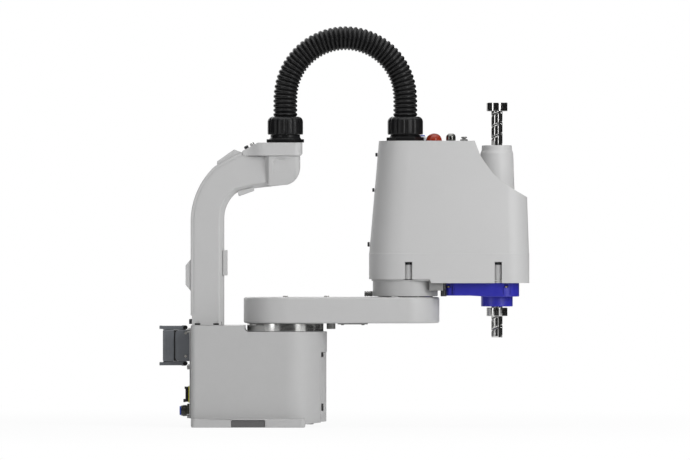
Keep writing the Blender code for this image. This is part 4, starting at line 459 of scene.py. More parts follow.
# Places read from the frame
DECK_Z = corner_high("base_casting").z
J2_X = middle("j2_reducer").x
SHAFT_X = middle("shaft").x
HUB_Z = corner_low("arm_2_casting").z
PLATE_Z = corner_low("spline_bearing").z
PLATE_TOP = corner_high("arm_2_casting").z
COVER_TOP_Z = corner_high("arm_2_cover").z
HEAD_Z = corner_low("duct_lid").z - SEAT
LID_TOP = corner_high("duct_lid").z
NUT_FOOT_Z = corner_low("arm_gland_nut").z
J2_AXIS = (J2_X, 0, 0)
SHAFT_AXIS = (SHAFT_X, 0, 0)
BEND = (-DUCT_REAR + DUCT_BEND_FORWARD, DECK_Z + DUCT_BEND_CENTRE)
INNER_BEND = (-DUCT_FRONT + DUCT_INNER_BEND_RADIUS, DECK_Z + DUCT_INNER_BEND_CENTRE)
SLOPE_END = (DUCT_SLOPE_END[0], DECK_Z + DUCT_SLOPE_END[1])
UNDERSIDE = [(x, DECK_Z + z) for x, z in DUCT_UNDERSIDE]


def arc(centre, radius, start, end, steps):
    """Points on an arc from one angle to another, in degrees. The radius may be a pair."""
    rx, ry = radius if isinstance(radius, tuple) else (radius, radius)
    angles = [math.radians(start + (end - start) * i / steps) for i in range(steps + 1)]
    return [(centre[0] + rx * math.cos(a), centre[1] + ry * math.sin(a)) for a in angles]


def hexagon(radius):
    """Six corners round the middle."""
    return arc((0, 0), radius, 0, 300, 5)


def rounded_box(x0, x1, y0, y1, corner, steps=8):
    """A rectangle with rounded corners. The corner may be a pair, for the x0 side and the x1 side."""
    near, far = corner if isinstance(corner, tuple) else (corner, corner)
    return (
        arc((x0 + near, y0 + near), near, 180, 270, steps)
        + arc((x1 - far, y0 + far), far, 270, 360, steps)
        + arc((x1 - far, y1 - far), far, 0, 90, steps)
        + arc((x0 + near, y1 - near), near, 90, 180, steps)
    )


def end_view(low, high, corner, gap_y=0.0, gap_z=0.0):
    """A box's rounded outline seen along X, moved inwards by gaps."""
    return rounded_box(low.y + gap_y, high.y - gap_y, low.z + gap_z, high.z - gap_z, corner)


def mirrored(half):
    """An outline from the half of it on one side of the X axis."""
    return half + [(x, -y) for x, y in reversed(half)]


def at_side(side, first, second):
    """Two distances from the middle, as a pair in rising order on one side."""
    return sorted((side * first, side * second))


def stand(point, level, upright):
    """Put an outline's point at a level of the extrusion: XY along Z, XZ along Y or YZ along X."""
    if upright == "Z":
        return (point[0], point[1], level)
    if upright == "Y":
        return (point[0], level, point[1])
    return (level, point[0], point[1])


def join_rings(build, first, second):
    """Faces between two rings of the same length."""
    for i in range(len(first)):
        j = (i + 1) % len(first)
        build.faces.new((first[i], first[j], second[j], second[i]))


def loft(sections, upright="Z"):
    """Join outlines of equal length, each given with its level."""
    build = bmesh.new()
    rings = [[build.verts.new(stand(p, level, upright)) for p in outline] for outline, level in sections]
    build.faces.new(rings[0])
    build.faces.new(rings[-1])
    for first, second in zip(rings, rings[1:]):
        join_rings(build, first, second)
    return build


def prism(outline, low, high, upright="Z"):
    """Extrude an outline between two levels."""
    return loft([(outline, low), (outline, high)], upright)


def block(x0, x1, y0, y1, z0, z1):
    """A box, for cutting."""
    return prism([(x0, y0), (x1, y0), (x1, y1), (x0, y1)], z0, z1)


def turned(profile, steps=ROUND_STEPS, along="Z"):
    """Turn a profile of (radius, height) about an axis. It closes on itself or on the axis."""
    build = bmesh.new()
    angles = [2 * math.pi * i / steps for i in range(steps)]
    rings = []
    for radius, height in profile:
        if radius > 0:
            points = [(radius * math.cos(a), radius * math.sin(a)) for a in angles]
            rings.append([build.verts.new(stand(p, height, along)) for p in points])
    for first, second in zip(rings, rings[1:]):
        join_rings(build, first, second)
    if profile[0][0] > 0:
        join_rings(build, rings[-1], rings[0])
    else:
        build.faces.new(rings[0])
        build.faces.new(rings[-1])
    return build


def bar(radius, low, high, bore=0.0):
    """The profile of a round bar, or of a ring round a bore."""
    return [(bore, low), (radius, low), (radius, high), (bore, high)]


def grooved_bar(radius, low, high, grooves, waist, run):
    """A bar's profile with grooves: its waist is a share of the radius, reached over a short run."""
    profile = [(0, low), (radius, low)]
    for start, end in grooves:
        profile += [(radius, low + start), (radius * waist, low + start + run)]
        profile += [(radius * waist, low + end - run), (radius, low + end)]
    return profile + [(radius, high), (0, high)]


def softened(points, width, steps=3):
    """Round the corners of an open profile by a small radius."""
    result = [points[0]]
    for before, here, after in zip(points, points[1:], points[2:]):
        a, b, c = Vector(before), Vector(here), Vector(after)
        reach = min(width, (a - b).length / 2.2, (c - b).length / 2.2)
        start = b + (a - b).normalized() * reach
        end = b + (c - b).normalized() * reach
        for i in range(steps + 1):
            t = i / steps
            place = start * (1 - t) ** 2 + b * 2 * t * (1 - t) + end * t ** 2
            result.append((place.x, place.y))
    return result + [points[-1]]


def smooth_line(points, steps):
    """A smooth curve through points."""
    ends = [2 * Vector(points[0]) - Vector(points[1])] + [Vector(p) for p in points]
    ends.append(2 * Vector(points[-1]) - Vector(points[-2]))
    result = []
    for a, b, c, d in zip(ends, ends[1:], ends[2:], ends[3:]):
        for i in range(steps):
            t = i / steps
            place = 0.5 * (2 * b + (c - a) * t + (2 * a - 5 * b + 4 * c - d) * t * t
                           + (3 * b - a - 3 * c + d) * t ** 3)
            result.append(tuple(place))
    return result + [tuple(points[-1])]


def new_object(name, build):
    """An object from a finished bmesh."""
    bmesh.ops.recalc_face_normals(build, faces=build.faces)
    mesh = bpy.data.meshes.new(name)
    build.to_mesh(mesh)
    build.free()
    thing = bpy.data.objects.new(name, mesh)
    bpy.context.scene.collection.objects.link(thing)
    return thing


def settle(thing):
    """Put what a thing's modifiers do into its mesh."""
    graph = bpy.context.evaluated_depsgraph_get()
    mesh = bpy.data.meshes.new_from_object(thing.evaluated_get(graph))
    old = thing.data
    thing.modifiers.clear()
    thing.data = mesh
    bpy.data.meshes.remove(old)


def combine(thing, build, operation="DIFFERENCE", at=(0, 0, 0)):
    """Cut a shape out of a thing, join it, or keep what both share."""
    tool = new_object(thing.name + "_tool", build)
    tool.location = at
    modifier = thing.modifiers.new("combine", "BOOLEAN")
    modifier.operation = operation
    modifier.object = tool
    bpy.context.view_layer.update()
    settle(thing)
    bpy.data.meshes.remove(tool.data)


def drill(thing, radius, low, high, at=(0, 0, 0), steps=ROUND_STEPS):
    """Cut a round hole along Z."""
    combine(thing, turned(bar(radius, low, high), steps), at=at)


def from_object(thing):
    """Take an object's mesh out of the scene as a tool for combining."""
    tool = bmesh.new()
    tool.from_mesh(thing.data)
    bpy.data.meshes.remove(thing.data)
    return tool


def round_edges(thing, width, segments=3, angle=35, clamp=True):
    """Round the edges that are sharper than an angle."""
    modifier = thing.modifiers.new("edges", "BEVEL")
    modifier.width = width
    modifier.segments = segments
    modifier.limit_method = "ANGLE"
    modifier.angle_limit = math.radians(angle)
    modifier.miter_outer = "MITER_ARC"
    modifier.use_clamp_overlap = clamp
    settle(thing)


def chamfer(thing, width, chosen):
    """Chamfer the edges along a side of which both ends are chosen."""
    build = bmesh.new()
    build.from_mesh(thing.data)
    edges = [edge for edge in build.edges if all(chosen(corner.co) for corner in edge.verts)
             and abs(edge.verts[0].co.y - edge.verts[1].co.y) < MERGE]
    bmesh.ops.bevel(build, geom=edges, offset=width, offset_type="OFFSET", segments=1, profile=0.5,
                    affect="EDGES")
    bmesh.ops.remove_doubles(build, verts=build.verts, dist=MERGE)
    build.to_mesh(thing.data)
    build.free()


def line_distance(point, line):
    """How far a point is from a line of straight pieces."""
    shortest = math.inf
    for start, end in zip(line, line[1:]):
        start, way = Vector(start), Vector(end) - Vector(start)
        share = min(max((point - start).dot(way) / way.length_squared, 0), 1)
        shortest = min(shortest, (point - start - way * share).length)
    return shortest


def dress(thing, finish, body, *nodes, slot=None, sharp=32):
    """Finish a piece: smooth shading, its material, and the body and nodes that it stands for."""
    thing.data.shade_smooth()
    thing.data.set_sharp_from_angle(angle=math.radians(sharp))
    thing.data.materials.clear()
    thing.data.materials.append(MATERIALS[finish])
    modifier = thing.modifiers.new("normals", "WEIGHTED_NORMAL")
    modifier.keep_sharp = True
    modifier.weight = 80
    thing.data.transform(Matrix.Translation(thing.location))
    thing.location = (0, 0, 0)
    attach(thing, body)
    slot or FINISHES[finish][0]
    if nodes:
        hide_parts(*nodes)


def turned_piece(name, profile, finish, body, *nodes, at=(0, 0, 0), edge=0.0005, steps=ROUND_STEPS, along="Z",
                 **looks):
    """A dressed piece, turned from a profile with softened corners."""
    thing = new_object(name, turned(softened(profile, edge), steps, along))
    thing.location = at
    dress(thing, finish, body, *nodes, **looks)


def rounded_piece(name, build, finish, body, *nodes, edge=PLATE_EDGE, segments=2, angle=40):
    """A dressed piece with rounded edges."""
    thing = new_object(name, build)
    round_edges(thing, edge, segments, angle)
    dress(thing, finish, body, *nodes)


def socket_screw(name, place, way, radius, height, body, finish, *nodes):
    """A cap screw with a hexagon socket. Its head's foot is at a place, and it stands out along a way."""
    head = new_object(name, turned(softened(bar(radius, 0, height), min(SCREW_EDGE, height / 3)), 40))
    combine(head, prism(hexagon(radius * SOCKET_SHARE), height * SOCKET_FOOT, height + OVERSHOOT))
    turn = Vector((0, 0, 1)).rotation_difference(Vector(way)).to_matrix().to_4x4()
    head.data.transform(Matrix.Translation(place) @ turn)
    dress(head, finish, body, *nodes)


def node_screw(name, node, way, body, finish, foot=None):
    """A cap screw in a node's place. It stands out along X or Z from the node's end or a given foot."""
    axis = 0 if way[0] else 2
    ends = corner_low(node)[axis], corner_high(node)[axis]
    start, tip = ends if way[axis] > 0 else ends[::-1]
    place = middle(node)
    place[axis] = start if foot is None else foot
    radius = half_size(node).z if axis == 0 else half_size(node).y
    socket_screw(name, place, way, radius, abs(tip - place[axis]), body, finish, node)


def add_node(tree, kind, inputs):
    """Add a shader node whose inputs, by name or number, get a value or another node's output."""
    node = tree.nodes.new(kind)
    feed(tree, node, inputs)
    return node


def feed(tree, node, inputs):
    """Give a node's inputs their values or links."""
    for key, value in inputs.items():
        if isinstance(value, bpy.types.NodeSocket):
            tree.links.new(value, node.inputs[key])
        else:
            node.inputs[key].default_value = value


def calculate(tree, operation, *values):
    """A math node's result."""
    node = add_node(tree, "ShaderNodeMath", dict(enumerate(values)))
    node.operation = operation
    return node.outputs[0]


def noise(tree, vector, scale, detail):
    """A noise texture's value."""
    inputs = {"Vector": vector, "Scale": scale, "Detail": detail}
    return add_node(tree, "ShaderNodeTexNoise", inputs).outputs["Fac"]


def new_material(name):
    """A material, its tree and its main shader."""
    material = bpy.data.materials.new(name)
    material.use_nodes = True
    return material, material.node_tree, material.node_tree.nodes["Principled BSDF"]


def surface(name, colour, roughness, tint=0.05, grain=700.0, bump=0.15, depth=0.0001, rough_spread=0.06,
            metallic=0.0, coat=0.0, stretch=(1, 1, 1), specular=0.5):
    """A finish with patches and specks of tint, specks that move roughness, and a grain as its bump."""
    material, tree, shader = new_material(name)
    place = add_node(tree, "ShaderNodeTexCoord", {}).outputs["Object"]
    vector = add_node(tree, "ShaderNodeMapping", {"Vector": place, "Scale": stretch}).outputs["Vector"]
    patches = noise(tree, vector, PATCH_SCALE, 4.0)
    grains = noise(tree, vector, grain, 2.0)
    specks = noise(tree, vector, grain / 4, 3.0)
    blotches = calculate(tree, "MULTIPLY", patches, PATCH_SHARE)
    mixed = calculate(tree, "MULTIPLY_ADD", specks, 1 - PATCH_SHARE, blotches)
    ramp = add_node(tree, "ShaderNodeValToRGB", {"Fac": mixed})
    for element, position, share in zip(ramp.color_ramp.elements, NOISE_RANGE, (1 - tint, 1 + tint)):
        element.position = position
        element.color = (*[min(c * share, 1.0) for c in colour], 1.0)
    rough = add_node(tree, "ShaderNodeMapRange", {
        "Value": specks, "From Min": NOISE_RANGE[0], "From Max": NOISE_RANGE[1],
        "To Min": roughness - rough_spread, "To Max": roughness + rough_spread,
    })
    bumps = add_node(tree, "ShaderNodeBump", {"Strength": bump, "Distance": depth, "Height": grains})
    feed(tree, shader, {
        "Base Color": ramp.outputs["Color"],
        "Roughness": rough.outputs["Result"],
        "Normal": bumps.outputs["Normal"],
        "Metallic": metallic,
        "Coat Weight": coat,
        "Coat Roughness": COAT_ROUGHNESS,
        "Specular IOR Level": specular,
    })
    return material


def seen_directly(tree):
    """1 for what the camera, a gloss or a clear material sees of the background."""
    path = tree.nodes.new("ShaderNodeLightPath").outputs
    gloss = calculate(tree, "MAXIMUM", path["Is Camera Ray"], path["Is Glossy Ray"])
    return calculate(tree, "MAXIMUM", gloss, path["Is Transmission Ray"])


def make_world():
    """Grey light from all round, in front of what looks white."""
    world = bpy.data.worlds.new("studio")
    bpy.context.scene.world = world
    world.use_nodes = True
    tree = world.node_tree
    colour = tree.nodes.new("ShaderNodeMix")
    colour.data_type = "RGBA"
    feed(tree, colour, {"A": WORLD_GREY, "B": (1, 1, 1, 1), "Factor": seen_directly(tree)})
    feed(tree, tree.nodes["Background"], {"Color": colour.outputs["Result"], "Strength": 1.0})


def make_floor():
    """A white floor that keeps a soft part of the shadow."""
    material, tree, shader = new_material("white floor")
    tree.nodes.remove(shader)
    diffuse = add_node(tree, "ShaderNodeBsdfDiffuse", {"Color": (*grey(FLOOR_GREY), 1)})
    glow = tree.nodes.new("ShaderNodeEmission")
    place = add_node(tree, "ShaderNodeTexCoord", {}).outputs["Object"]
    away = add_node(tree, "ShaderNodeVectorMath", {0: place})
    away.operation = "LENGTH"
    near = add_node(tree, "ShaderNodeMapRange", FLOOR_GLOW | {"Value": away.outputs["Value"]})
    near.interpolation_type = "SMOOTHSTEP"
    share = calculate(tree, "MULTIPLY", seen_directly(tree), near.outputs["Result"])
    mix = add_node(tree, "ShaderNodeMixShader", {"Fac": share, 1: diffuse.outputs[0], 2: glow.outputs[0]})
    feed(tree, tree.nodes["Material Output"], {"Surface": mix.outputs[0]})
    reach = FLOOR_REACH
    floor = new_object("floor", block(-reach, reach, -reach, reach, -2 * CLEAR, -2 * HAIR))
    floor.data.materials.append(material)


def make_lamp(name, place, size, power):
    """A soft box that faces the robot."""
    data = bpy.data.lights.new(name, "AREA")
    data.shape = "RECTANGLE"
    data.size, data.size_y = size
    data.energy = power
    light = bpy.data.objects.new(name, data)
    bpy.context.scene.collection.objects.link(light)
    light.location = place
    aim = Vector((VIEW_CENTRE[0], 0, VIEW_CENTRE[1])) - Vector(place)
    light.rotation_euler = aim.to_track_quat("-Z", "Y").to_euler()


def make_card(name, start, end, level, low, high):
    """A curved card around the set, which only gloss sees. Angles are from the camera's side."""
    centre = (VIEW_CENTRE[0], 0)
    inner = arc(centre, CARD_DISTANCE, start - 90, end - 90, 12)
    outer = arc(centre, CARD_DISTANCE + CARD_THICKNESS, end - 90, start - 90, 12)
    card = new_object(name, prism(inner + outer, low, high))
    material, tree, shader = new_material(name)
    feed(tree, shader, {"Base Color": (*grey(level), 1), "Roughness": 1.0})
    card.data.materials.append(material)
    card.visible_camera = False
    card.visible_diffuse = False
    card.visible_shadow = False


def make_stage():
    """Floor, world, lamps and the cards that metal reflects."""
    bpy.context.scene.view_settings.view_transform = "Standard"
    make_world()
    make_floor()
    for name, lamp in LAMPS.items():
        make_lamp(name, *lamp)
    floor, split, top = CARD_LEVELS
    for name, card in HIGH_CARDS.items():
        make_card(name, *card, split, top)
    for name, card in LOW_CARDS.items():
        make_card(name, *card, floor, split)


def make_camera():
    """The photograph's viewpoint."""
    data = bpy.data.cameras.new("camera")
    data.sensor_width = SENSOR_WIDTH
    data.lens = SENSOR_WIDTH * VIEW_DISTANCE / VIEW_WIDTH
    data.clip_end = 100
    camera = bpy.data.objects.new("camera", data)
    bpy.context.scene.collection.objects.link(camera)
    camera.location = (VIEW_CENTRE[0], -VIEW_DISTANCE, VIEW_CENTRE[1])
    camera.rotation_euler = (math.radians(90), 0, 0)
    bpy.context.scene.camera = camera


def base_plan():
    """The base seen from above: square at the rear, round at the front."""
    low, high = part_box("base_casting")
    half = high.x
    return (
        arc((0, 0), half, -90, 90, 64)
        + arc((low.x + BASE_CORNER, half - BASE_CORNER), BASE_CORNER, 90, 180, 8)
        + arc((low.x + BASE_CORNER, -half + BASE_CORNER), BASE_CORNER, 180, 270, 8)
    )


def base_side():
    """The base's body seen from the side, with its lifted nose and the step of its deck."""
    low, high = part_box("base_casting")
    seat = corner_low("j1_output_ring").z - SEAT
    rear, front = low.x - OVERSHOOT, high.x + OVERSHOOT
    return (
        [(rear, UNDERSIDE_LIFT), (FOOT_FRONT - NOSE_RUN, UNDERSIDE_LIFT), (FOOT_FRONT, NOSE_LIFT[0])]
        + [(front, NOSE_LIFT[1]), (front, seat)]
        + arc((-STEP_BACK + STEP_FILLET, seat + STEP_FILLET), STEP_FILLET, 270, 195, 6)
        + [(-STEP_BACK, high.z), (rear, high.z)]
    )


def make_foot():
    """The base's foot, with its recesses for the two caps."""
    low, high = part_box("base_casting")
    plan = rounded_box(low.x + NOSE_RUN, FOOT_FRONT, -high.y, high.y, FOOT_CORNER)
    foot = new_object("foot", prism(plan, 0, FOOT_HEIGHT))
    cap_low, cap_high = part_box("foot_cap_right")
    notch = rounded_box(cap_low.x - SEAT, cap_high.x + SEAT, -2 * CLEAR, cap_high.z + SEAT, CAP_CORNER, 5)
    for side, _ in SIDES:
        combine(foot, prism(notch, *at_side(side, cap_low.y - SEAT, high.y + OVERSHOOT), "Y"))
    round_edges(foot, FOOT_EDGE)
    return foot


def make_base():
    """The base casting with its foot and the holes in it."""
    high = corner_high("base_casting")
    half, reach = high.x, high.x + OVERSHOOT
    body = new_object("base_body", prism(base_side(), -reach, reach, "Y"))
    combine(body, prism(base_plan(), -OVERSHOOT, high.z + OVERSHOOT), "INTERSECT")
    flat = corner_low("base_front_cover").x - SEAT
    combine(body, block(flat, reach, -half, half, -OVERSHOOT, FRONT_COVER_TOP))
    round_edges(body, BASE_EDGE)
    combine(body, from_object(make_foot()), "UNION")
    for opening in frame["record"]["physics"]["openings"]:
        if "foot_hole" in opening["name"]:
            start, end = opening["box_m"]
            place = ((start[0] + end[0]) / 2, (start[1] + end[1]) / 2, 0)
            drill(body, FOOT_HOLE_RADIUS, -OVERSHOOT, FOOT_HEIGHT + OVERSHOOT, place, HOLE_STEPS)
    dress(body, "paint", "base", "base_casting")


def make_front_cover():
    """The service cover in the round front, with two pull slots at each side, and the bolt under the nose."""
    low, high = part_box("base_front_cover")
    radius = high.x
    half = math.degrees(math.acos(low.x / radius))
    cover = new_object("front_cover", prism(arc((0, 0), radius, -half, half, 48), low.z, high.z))
    round_edges(cover, FRONT_COVER_EDGE, 2, 50)
    angle = math.radians(half * PULL_SLOT_PLACE)
    x, y = radius * math.cos(angle), radius * math.sin(angle)
    for side, _ in SIDES:
        for foot, height in PULL_SLOTS:
            slot = rounded_box(x - PULL_SLOT_HALF_WIDTH, x + PULL_SLOT_HALF_WIDTH, foot, foot + height,
                               PULL_SLOT_CORNER, 4)
            combine(cover, prism(slot, *at_side(side, y - PULL_SLOT_DEPTH, y + 2 * CLEAR), "Y"))
    dress(cover, "paint", "base", "base_front_cover")
    # The bolt is near-black: painted shade under the lifted nose
    turned_piece("nose_bolt", bar(*NOSE_BOLT), "gasket_and_shade", "base", at=NOSE_BOLT_PLACE, edge=0.0006, steps=6,
                 slot="dark_plate")


def make_rear_panel():
    """The rear panel and its screws."""
    low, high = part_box("base_rear_panel")
    rounded_piece("rear_panel", prism(end_view(low, high, PANEL_CORNER), low.x, high.x, "X"), "paint", "base",
                  "base_rear_panel")
    for side, word in SIDES:
        for number, level in enumerate(PANEL_SCREW_LEVELS):
            place = (low.x, side * PANEL_SCREW_SIDE, level)
            socket_screw(f"panel_screw_{word}_{number + 1}", place, (-1, 0, 0), *PANEL_SCREW, "base",
                         "mid_steel")


def make_first_arm():
    """The steel ring, the first arm and what is on it."""
    low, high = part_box("j1_output_ring")
    turned_piece("output_ring", bar(high.x, low.z, high.z, RING_BORE), "steel", "arm_1", "j1_output_ring",
                 edge=RING_EDGE, steps=160)
    low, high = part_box("arm_1_casting")
    rear, front = -low.x, high.x - J2_X
    lean = math.degrees(math.asin((rear - front) / J2_X))
    outline = arc((J2_X, 0), front, -90 + lean, 90 - lean, 56) + arc((0, 0), rear, 90 - lean, 270 + lean, 64)
    arm = new_object("arm_1", prism(outline, low.z, high.z))
    round_edges(arm, ARM_EDGE, 4, 50)
    seat = corner_high("j2_reducer")
    drill(arm, seat.y + SEAT, seat.z - REDUCER_SEAT, high.z + OVERSHOOT, J2_AXIS, WIDE_STEPS)
    dress(arm, "arm_paint", "arm_1", "arm_1_casting")

    low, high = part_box("arm_1_bottom_cover")
    plan = rounded_box(low.x, high.x, low.y, high.y, ARM_PLATE_CORNER)
    # The plate's dark grey is painted shade under the arm
    rounded_piece("arm_1_plate", prism(plan, low.z, high.z), "dark", "arm_1", "arm_1_bottom_cover", angle=50)
    inset = ARM_PLATE_SCREW_INSET
    x0, x1, y0, y1 = low.x + inset, high.x - inset, low.y + inset, high.y - inset
    for number, (x, y) in enumerate(((x0, y0), (x1, y0), (x1, y1), (x0, y1))):
        place = (x, y, low.z)
        socket_screw(f"plate_screw_{number + 1}", place, (0, 0, -1), *ARM_PLATE_SCREW, "arm_1", "screw")
    node_screw("stop_bolt", "j1_stop_bolt", (0, 0, -1), "arm_1", "mid_steel")
    for word in ("rear", "front"):
        node_screw("arm_screw_" + word, "arm_1_screw_" + word, (0, 0, 1), "arm_1", "screw")


def cover_rise(height):
    """How far up the cover's drafted sides a height is, from 0 to 1."""
    return min(max((height - COVER_DRAFT_START) / (COVER_TOP_Z - HUB_Z - COVER_DRAFT_START), 0), 1)


def rear_face_x(height):
    """Where the cover's rear face is at a height above the hub's foot."""
    return J2_X - COVER_REARS[0] + (COVER_REARS[0] - COVER_REARS[1]) * cover_rise(height)


def cover_plan(height, inset):
    """The second arm's cover from above, at a height above the hub's foot."""
    half = COVER_HALF_WIDTHS[0] + (COVER_HALF_WIDTHS[1] - COVER_HALF_WIDTHS[0]) * cover_rise(height) - inset
    rear = rear_face_x(height) + inset
    fall = min(max((height - COVER_DRAFT_START) / (COVER_SHOULDER - COVER_DRAFT_START), 0), 3)
    nose = SHAFT_X + COVER_NOSES[0] + (COVER_NOSES[1] - COVER_NOSES[0]) * fall - inset
    corner = COVER_NOSE_CORNER - inset
    start, end = rear + half, nose - corner
    side = [(start + (end - start) * k / 12, half - COVER_BOW * (k / 12) ** 2) for k in range(1, 12)]
    half_front = half - COVER_BOW
    return (
        [(x, -y) for x, y in side]
        + arc((end, -half_front + corner), corner, 270 + COVER_BOW_ANGLE, 360, 16)
        + arc((end, half_front - corner), corner, 0, 90 - COVER_BOW_ANGLE, 16)
        + side[::-1]
        + arc((start, 0), half, 90, 270, 56)
    )


def cover_loft(inset, low, high):
    """The cover's outside or, with an inset, its inside, before the scoop at the front."""
    line = COVER_DRAFT_START
    sections = [(cover_plan(low, inset), low), (cover_plan(line, inset), line)]
    if not inset:
        sections.append((cover_plan(line, COVER_LINE_STEP), line + COVER_LINE_STEP))
        inset = COVER_LINE_STEP
    sections.append((cover_plan(high, inset), high))
    return loft([(plan, HUB_Z + level) for plan, level in sections])


def cover_side(inset):
    """The cover from the side: the scoop in front of the tube and the step in the lower edge."""
    reach = 2 * CLEAR
    top = COVER_TOP_Z - HUB_Z
    last_x, last_z = COVER_SCOOP[-1]
    slope = (COVER_SHOULDER - last_z) / (COVER_NOSES[1] - last_x)
    end = (COVER_NOSES[0] + reach, last_z + slope * (COVER_NOSES[0] + reach - last_x))
    curve = smooth_line([(-COVER_TOP_END, top), *COVER_SCOOP, (COVER_NOSES[1], COVER_SHOULDER)], 6)
    scoop = [(SHAFT_X + x, z - inset * (1.3 if z < top else 1)) for x, z in [end] + curve[::-1]]
    scoop[-1] = (scoop[-1][0] - inset * 0.6, scoop[-1][1])
    rear = J2_X - COVER_REARS[0] - reach
    front = SHAFT_X + COVER_NOSES[0] + reach
    if inset:
        lips = [(rear, -reach), (front, -reach)]
    else:
        step = J2_X + COVER_LIP_STEP
        lips = [(rear, COVER_LIP), (step, COVER_LIP), (step + COVER_LIP_RUN, COVER_FRONT_LIP),
                (front, COVER_FRONT_LIP)]
    return [(x, HUB_Z + z) for x, z in lips + scoop + [(rear, scoop[-1][1])]]


def slot_face(shift):
    """Half the cover's width at a slot."""
    length = SHAFT_X + COVER_NOSES[0] - COVER_NOSE_CORNER - J2_X
    return COVER_HALF_WIDTHS[0] - COVER_BOW * (max(shift, 0) / length) ** 2


def slot_blocks(margin, foot=0.0):
    """The screw slots in both sides of the cover's lower edge."""
    for shift in COVER_SLOTS:
        x = J2_X + shift
        reach = SLOT_WIDTH / 2 + margin
        depths = (COVER_HALF_WIDTHS[0] + OVERSHOOT, slot_face(shift) - SLOT_DEPTH - margin)
        for side, _ in SIDES:
            yield block(x - reach, x + reach, *at_side(side, *depths), HUB_Z + foot,
                        HUB_Z + SLOT_TOP + margin)


def make_drop_block():
    """The block that hangs from the casting in front of the hub, round the stop pin."""
    start, end = J2_X + DROP_BLOCK[0], J2_X + DROP_BLOCK[1]
    plan = rounded_box(start, end, -DROP_BLOCK_HALF_WIDTH, DROP_BLOCK_HALF_WIDTH, DROP_BLOCK_CORNER)
    drop = new_object("drop_block", prism(plan, PLATE_Z - DROP_BLOCK_DEPTH, PLATE_Z - HAIR))
    round_edges(drop, DROP_BLOCK_EDGE, 3, 50)
    low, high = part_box("j2_stop_pin")
    place = middle("j2_stop_pin")
    drill(drop, half_size("j2_stop_pin").x + SEAT, low.z, high.z + OVERSHOOT, (place.x, place.y, 0), 48)
    drill(drop, HUB_RADIUS + SEAT, HUB_Z, PLATE_TOP, J2_AXIS, WIDE_STEPS)
    # The dark paint is painted shade from the cover's overhang, which the block sits under
    dress(drop, "painted_shade_casting", "arm_2", "arm_2_casting")


def make_second_arm():
    """The second arm's casting and the stops of the second joint."""
    casting = new_object("arm_2", prism(cover_plan(0, COVER_WALL + CASTING_GAP), PLATE_Z, PLATE_TOP))
    round_edges(casting, CASTING_GAP, 2, 50)
    hub = softened(bar(HUB_RADIUS, HUB_Z, PLATE_Z + NOSE_RUN), HUB_EDGE)
    combine(casting, turned(hub, 128), "UNION", J2_AXIS)
    make_drop_block()
    low, high = HUB_Z - OVERSHOOT, PLATE_TOP + OVERSHOOT
    motor = middle("j4_motor")
    drill(casting, CABLE_HOLE_RADIUS, low, high, J2_AXIS, 48)
    drill(casting, half_size("spline_bearing").y + SEAT, low, high, SHAFT_AXIS, WIDE_STEPS)
    drill(casting, MOTOR_HOLE_RADIUS, low, high, (motor.x, motor.y, 0), HOLE_STEPS)
    for tool in slot_blocks(SLOT_WALL + CASTING_GAP, COVER_LIP - NOSE_RUN):
        combine(casting, tool)
    # The casting's darker paint is painted shade on the hub under the cover's lip
    dress(casting, "hub_painted_shade", "arm_2", "arm_2_casting")
    low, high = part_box("j2_stop_bolt")
    bolt = grooved_bar(half_size("j2_stop_bolt").z + BOLT_PLUS, low.x, high.x, BOLT_GROOVES, 0.8, 0.0002)
    turned_piece("arm_stop_bolt", bolt, "mid_steel", "arm_2", "j2_stop_bolt", at=(0, 0, (low.z + high.z) / 2),
                 edge=0.0004, steps=48, along="X")
    low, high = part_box("j2_stop_pin")
    place = middle("j2_stop_pin")
    pin = grooved_bar(half_size("j2_stop_pin").x, low.z, high.z, PIN_GROOVES, 0.78, 0.0005)
    turned_piece("stop_pin", pin, "dark_steel", "arm_2", "j2_stop_pin", at=(place.x, place.y, 0), steps=48)


def make_cover():
    """The second arm's cover with the shaft's tube and the posts in its slots."""
    top = COVER_TOP_Z - HUB_Z
    reach = COVER_HALF_WIDTHS[0] + OVERSHOOT
    cover = new_object("cover", cover_loft(0, COVER_FRONT_LIP - OVERSHOOT, top + OVERSHOOT))
    combine(cover, prism(cover_side(0), -reach, reach, "Y"), "INTERSECT")
    round_edges(cover, COVER_EDGE, 3, 30)
    hollow = new_object("cover_hollow", cover_loft(COVER_WALL, -OVERSHOOT, top + OVERSHOOT))
    combine(hollow, prism(cover_side(COVER_WALL), -reach, reach, "Y"), "INTERSECT")
    for tool in slot_blocks(SLOT_WALL):
        combine(hollow, tool)
    combine(cover, from_object(hollow))
    for tool in slot_blocks(0):
        combine(cover, tool)
    for shift in COVER_SLOTS:
        foot = COVER_LIP if shift < COVER_LIP_STEP else COVER_FRONT_LIP
        for side, _ in SIDES:
            place = (J2_X + shift, side * (slot_face(shift) - POST_RADIUS - POST_DEPTH), HUB_Z)
            combine(cover, turned(bar(POST_RADIUS, foot + 2 * HAIR, POST_TOP), HOLE_STEPS), "UNION", place)
    low, step, high = HUB_Z + TUBE_FOOT, HUB_Z + TUBE_STEP, HUB_Z + TUBE_TOP
    levels = (low, step, step + TUBE_STEP_HEIGHT, high)
    tube = softened([(0, low), *zip(TUBE_RADII, levels), (0, high)], TUBE_EDGE)
    combine(cover, turned(tube, 128), "UNION", SHAFT_AXIS)
    drill(cover, TUBE_BORE, low - OVERSHOOT, high + OVERSHOOT, SHAFT_AXIS, WIDE_STEPS)
    drill(cover, GLAND_BORE, COVER_TOP_Z - 2 * COVER_WALL, COVER_TOP_Z + OVERSHOOT, J2_AXIS)
    dress(cover, "cover", "arm_2", "arm_2_cover")


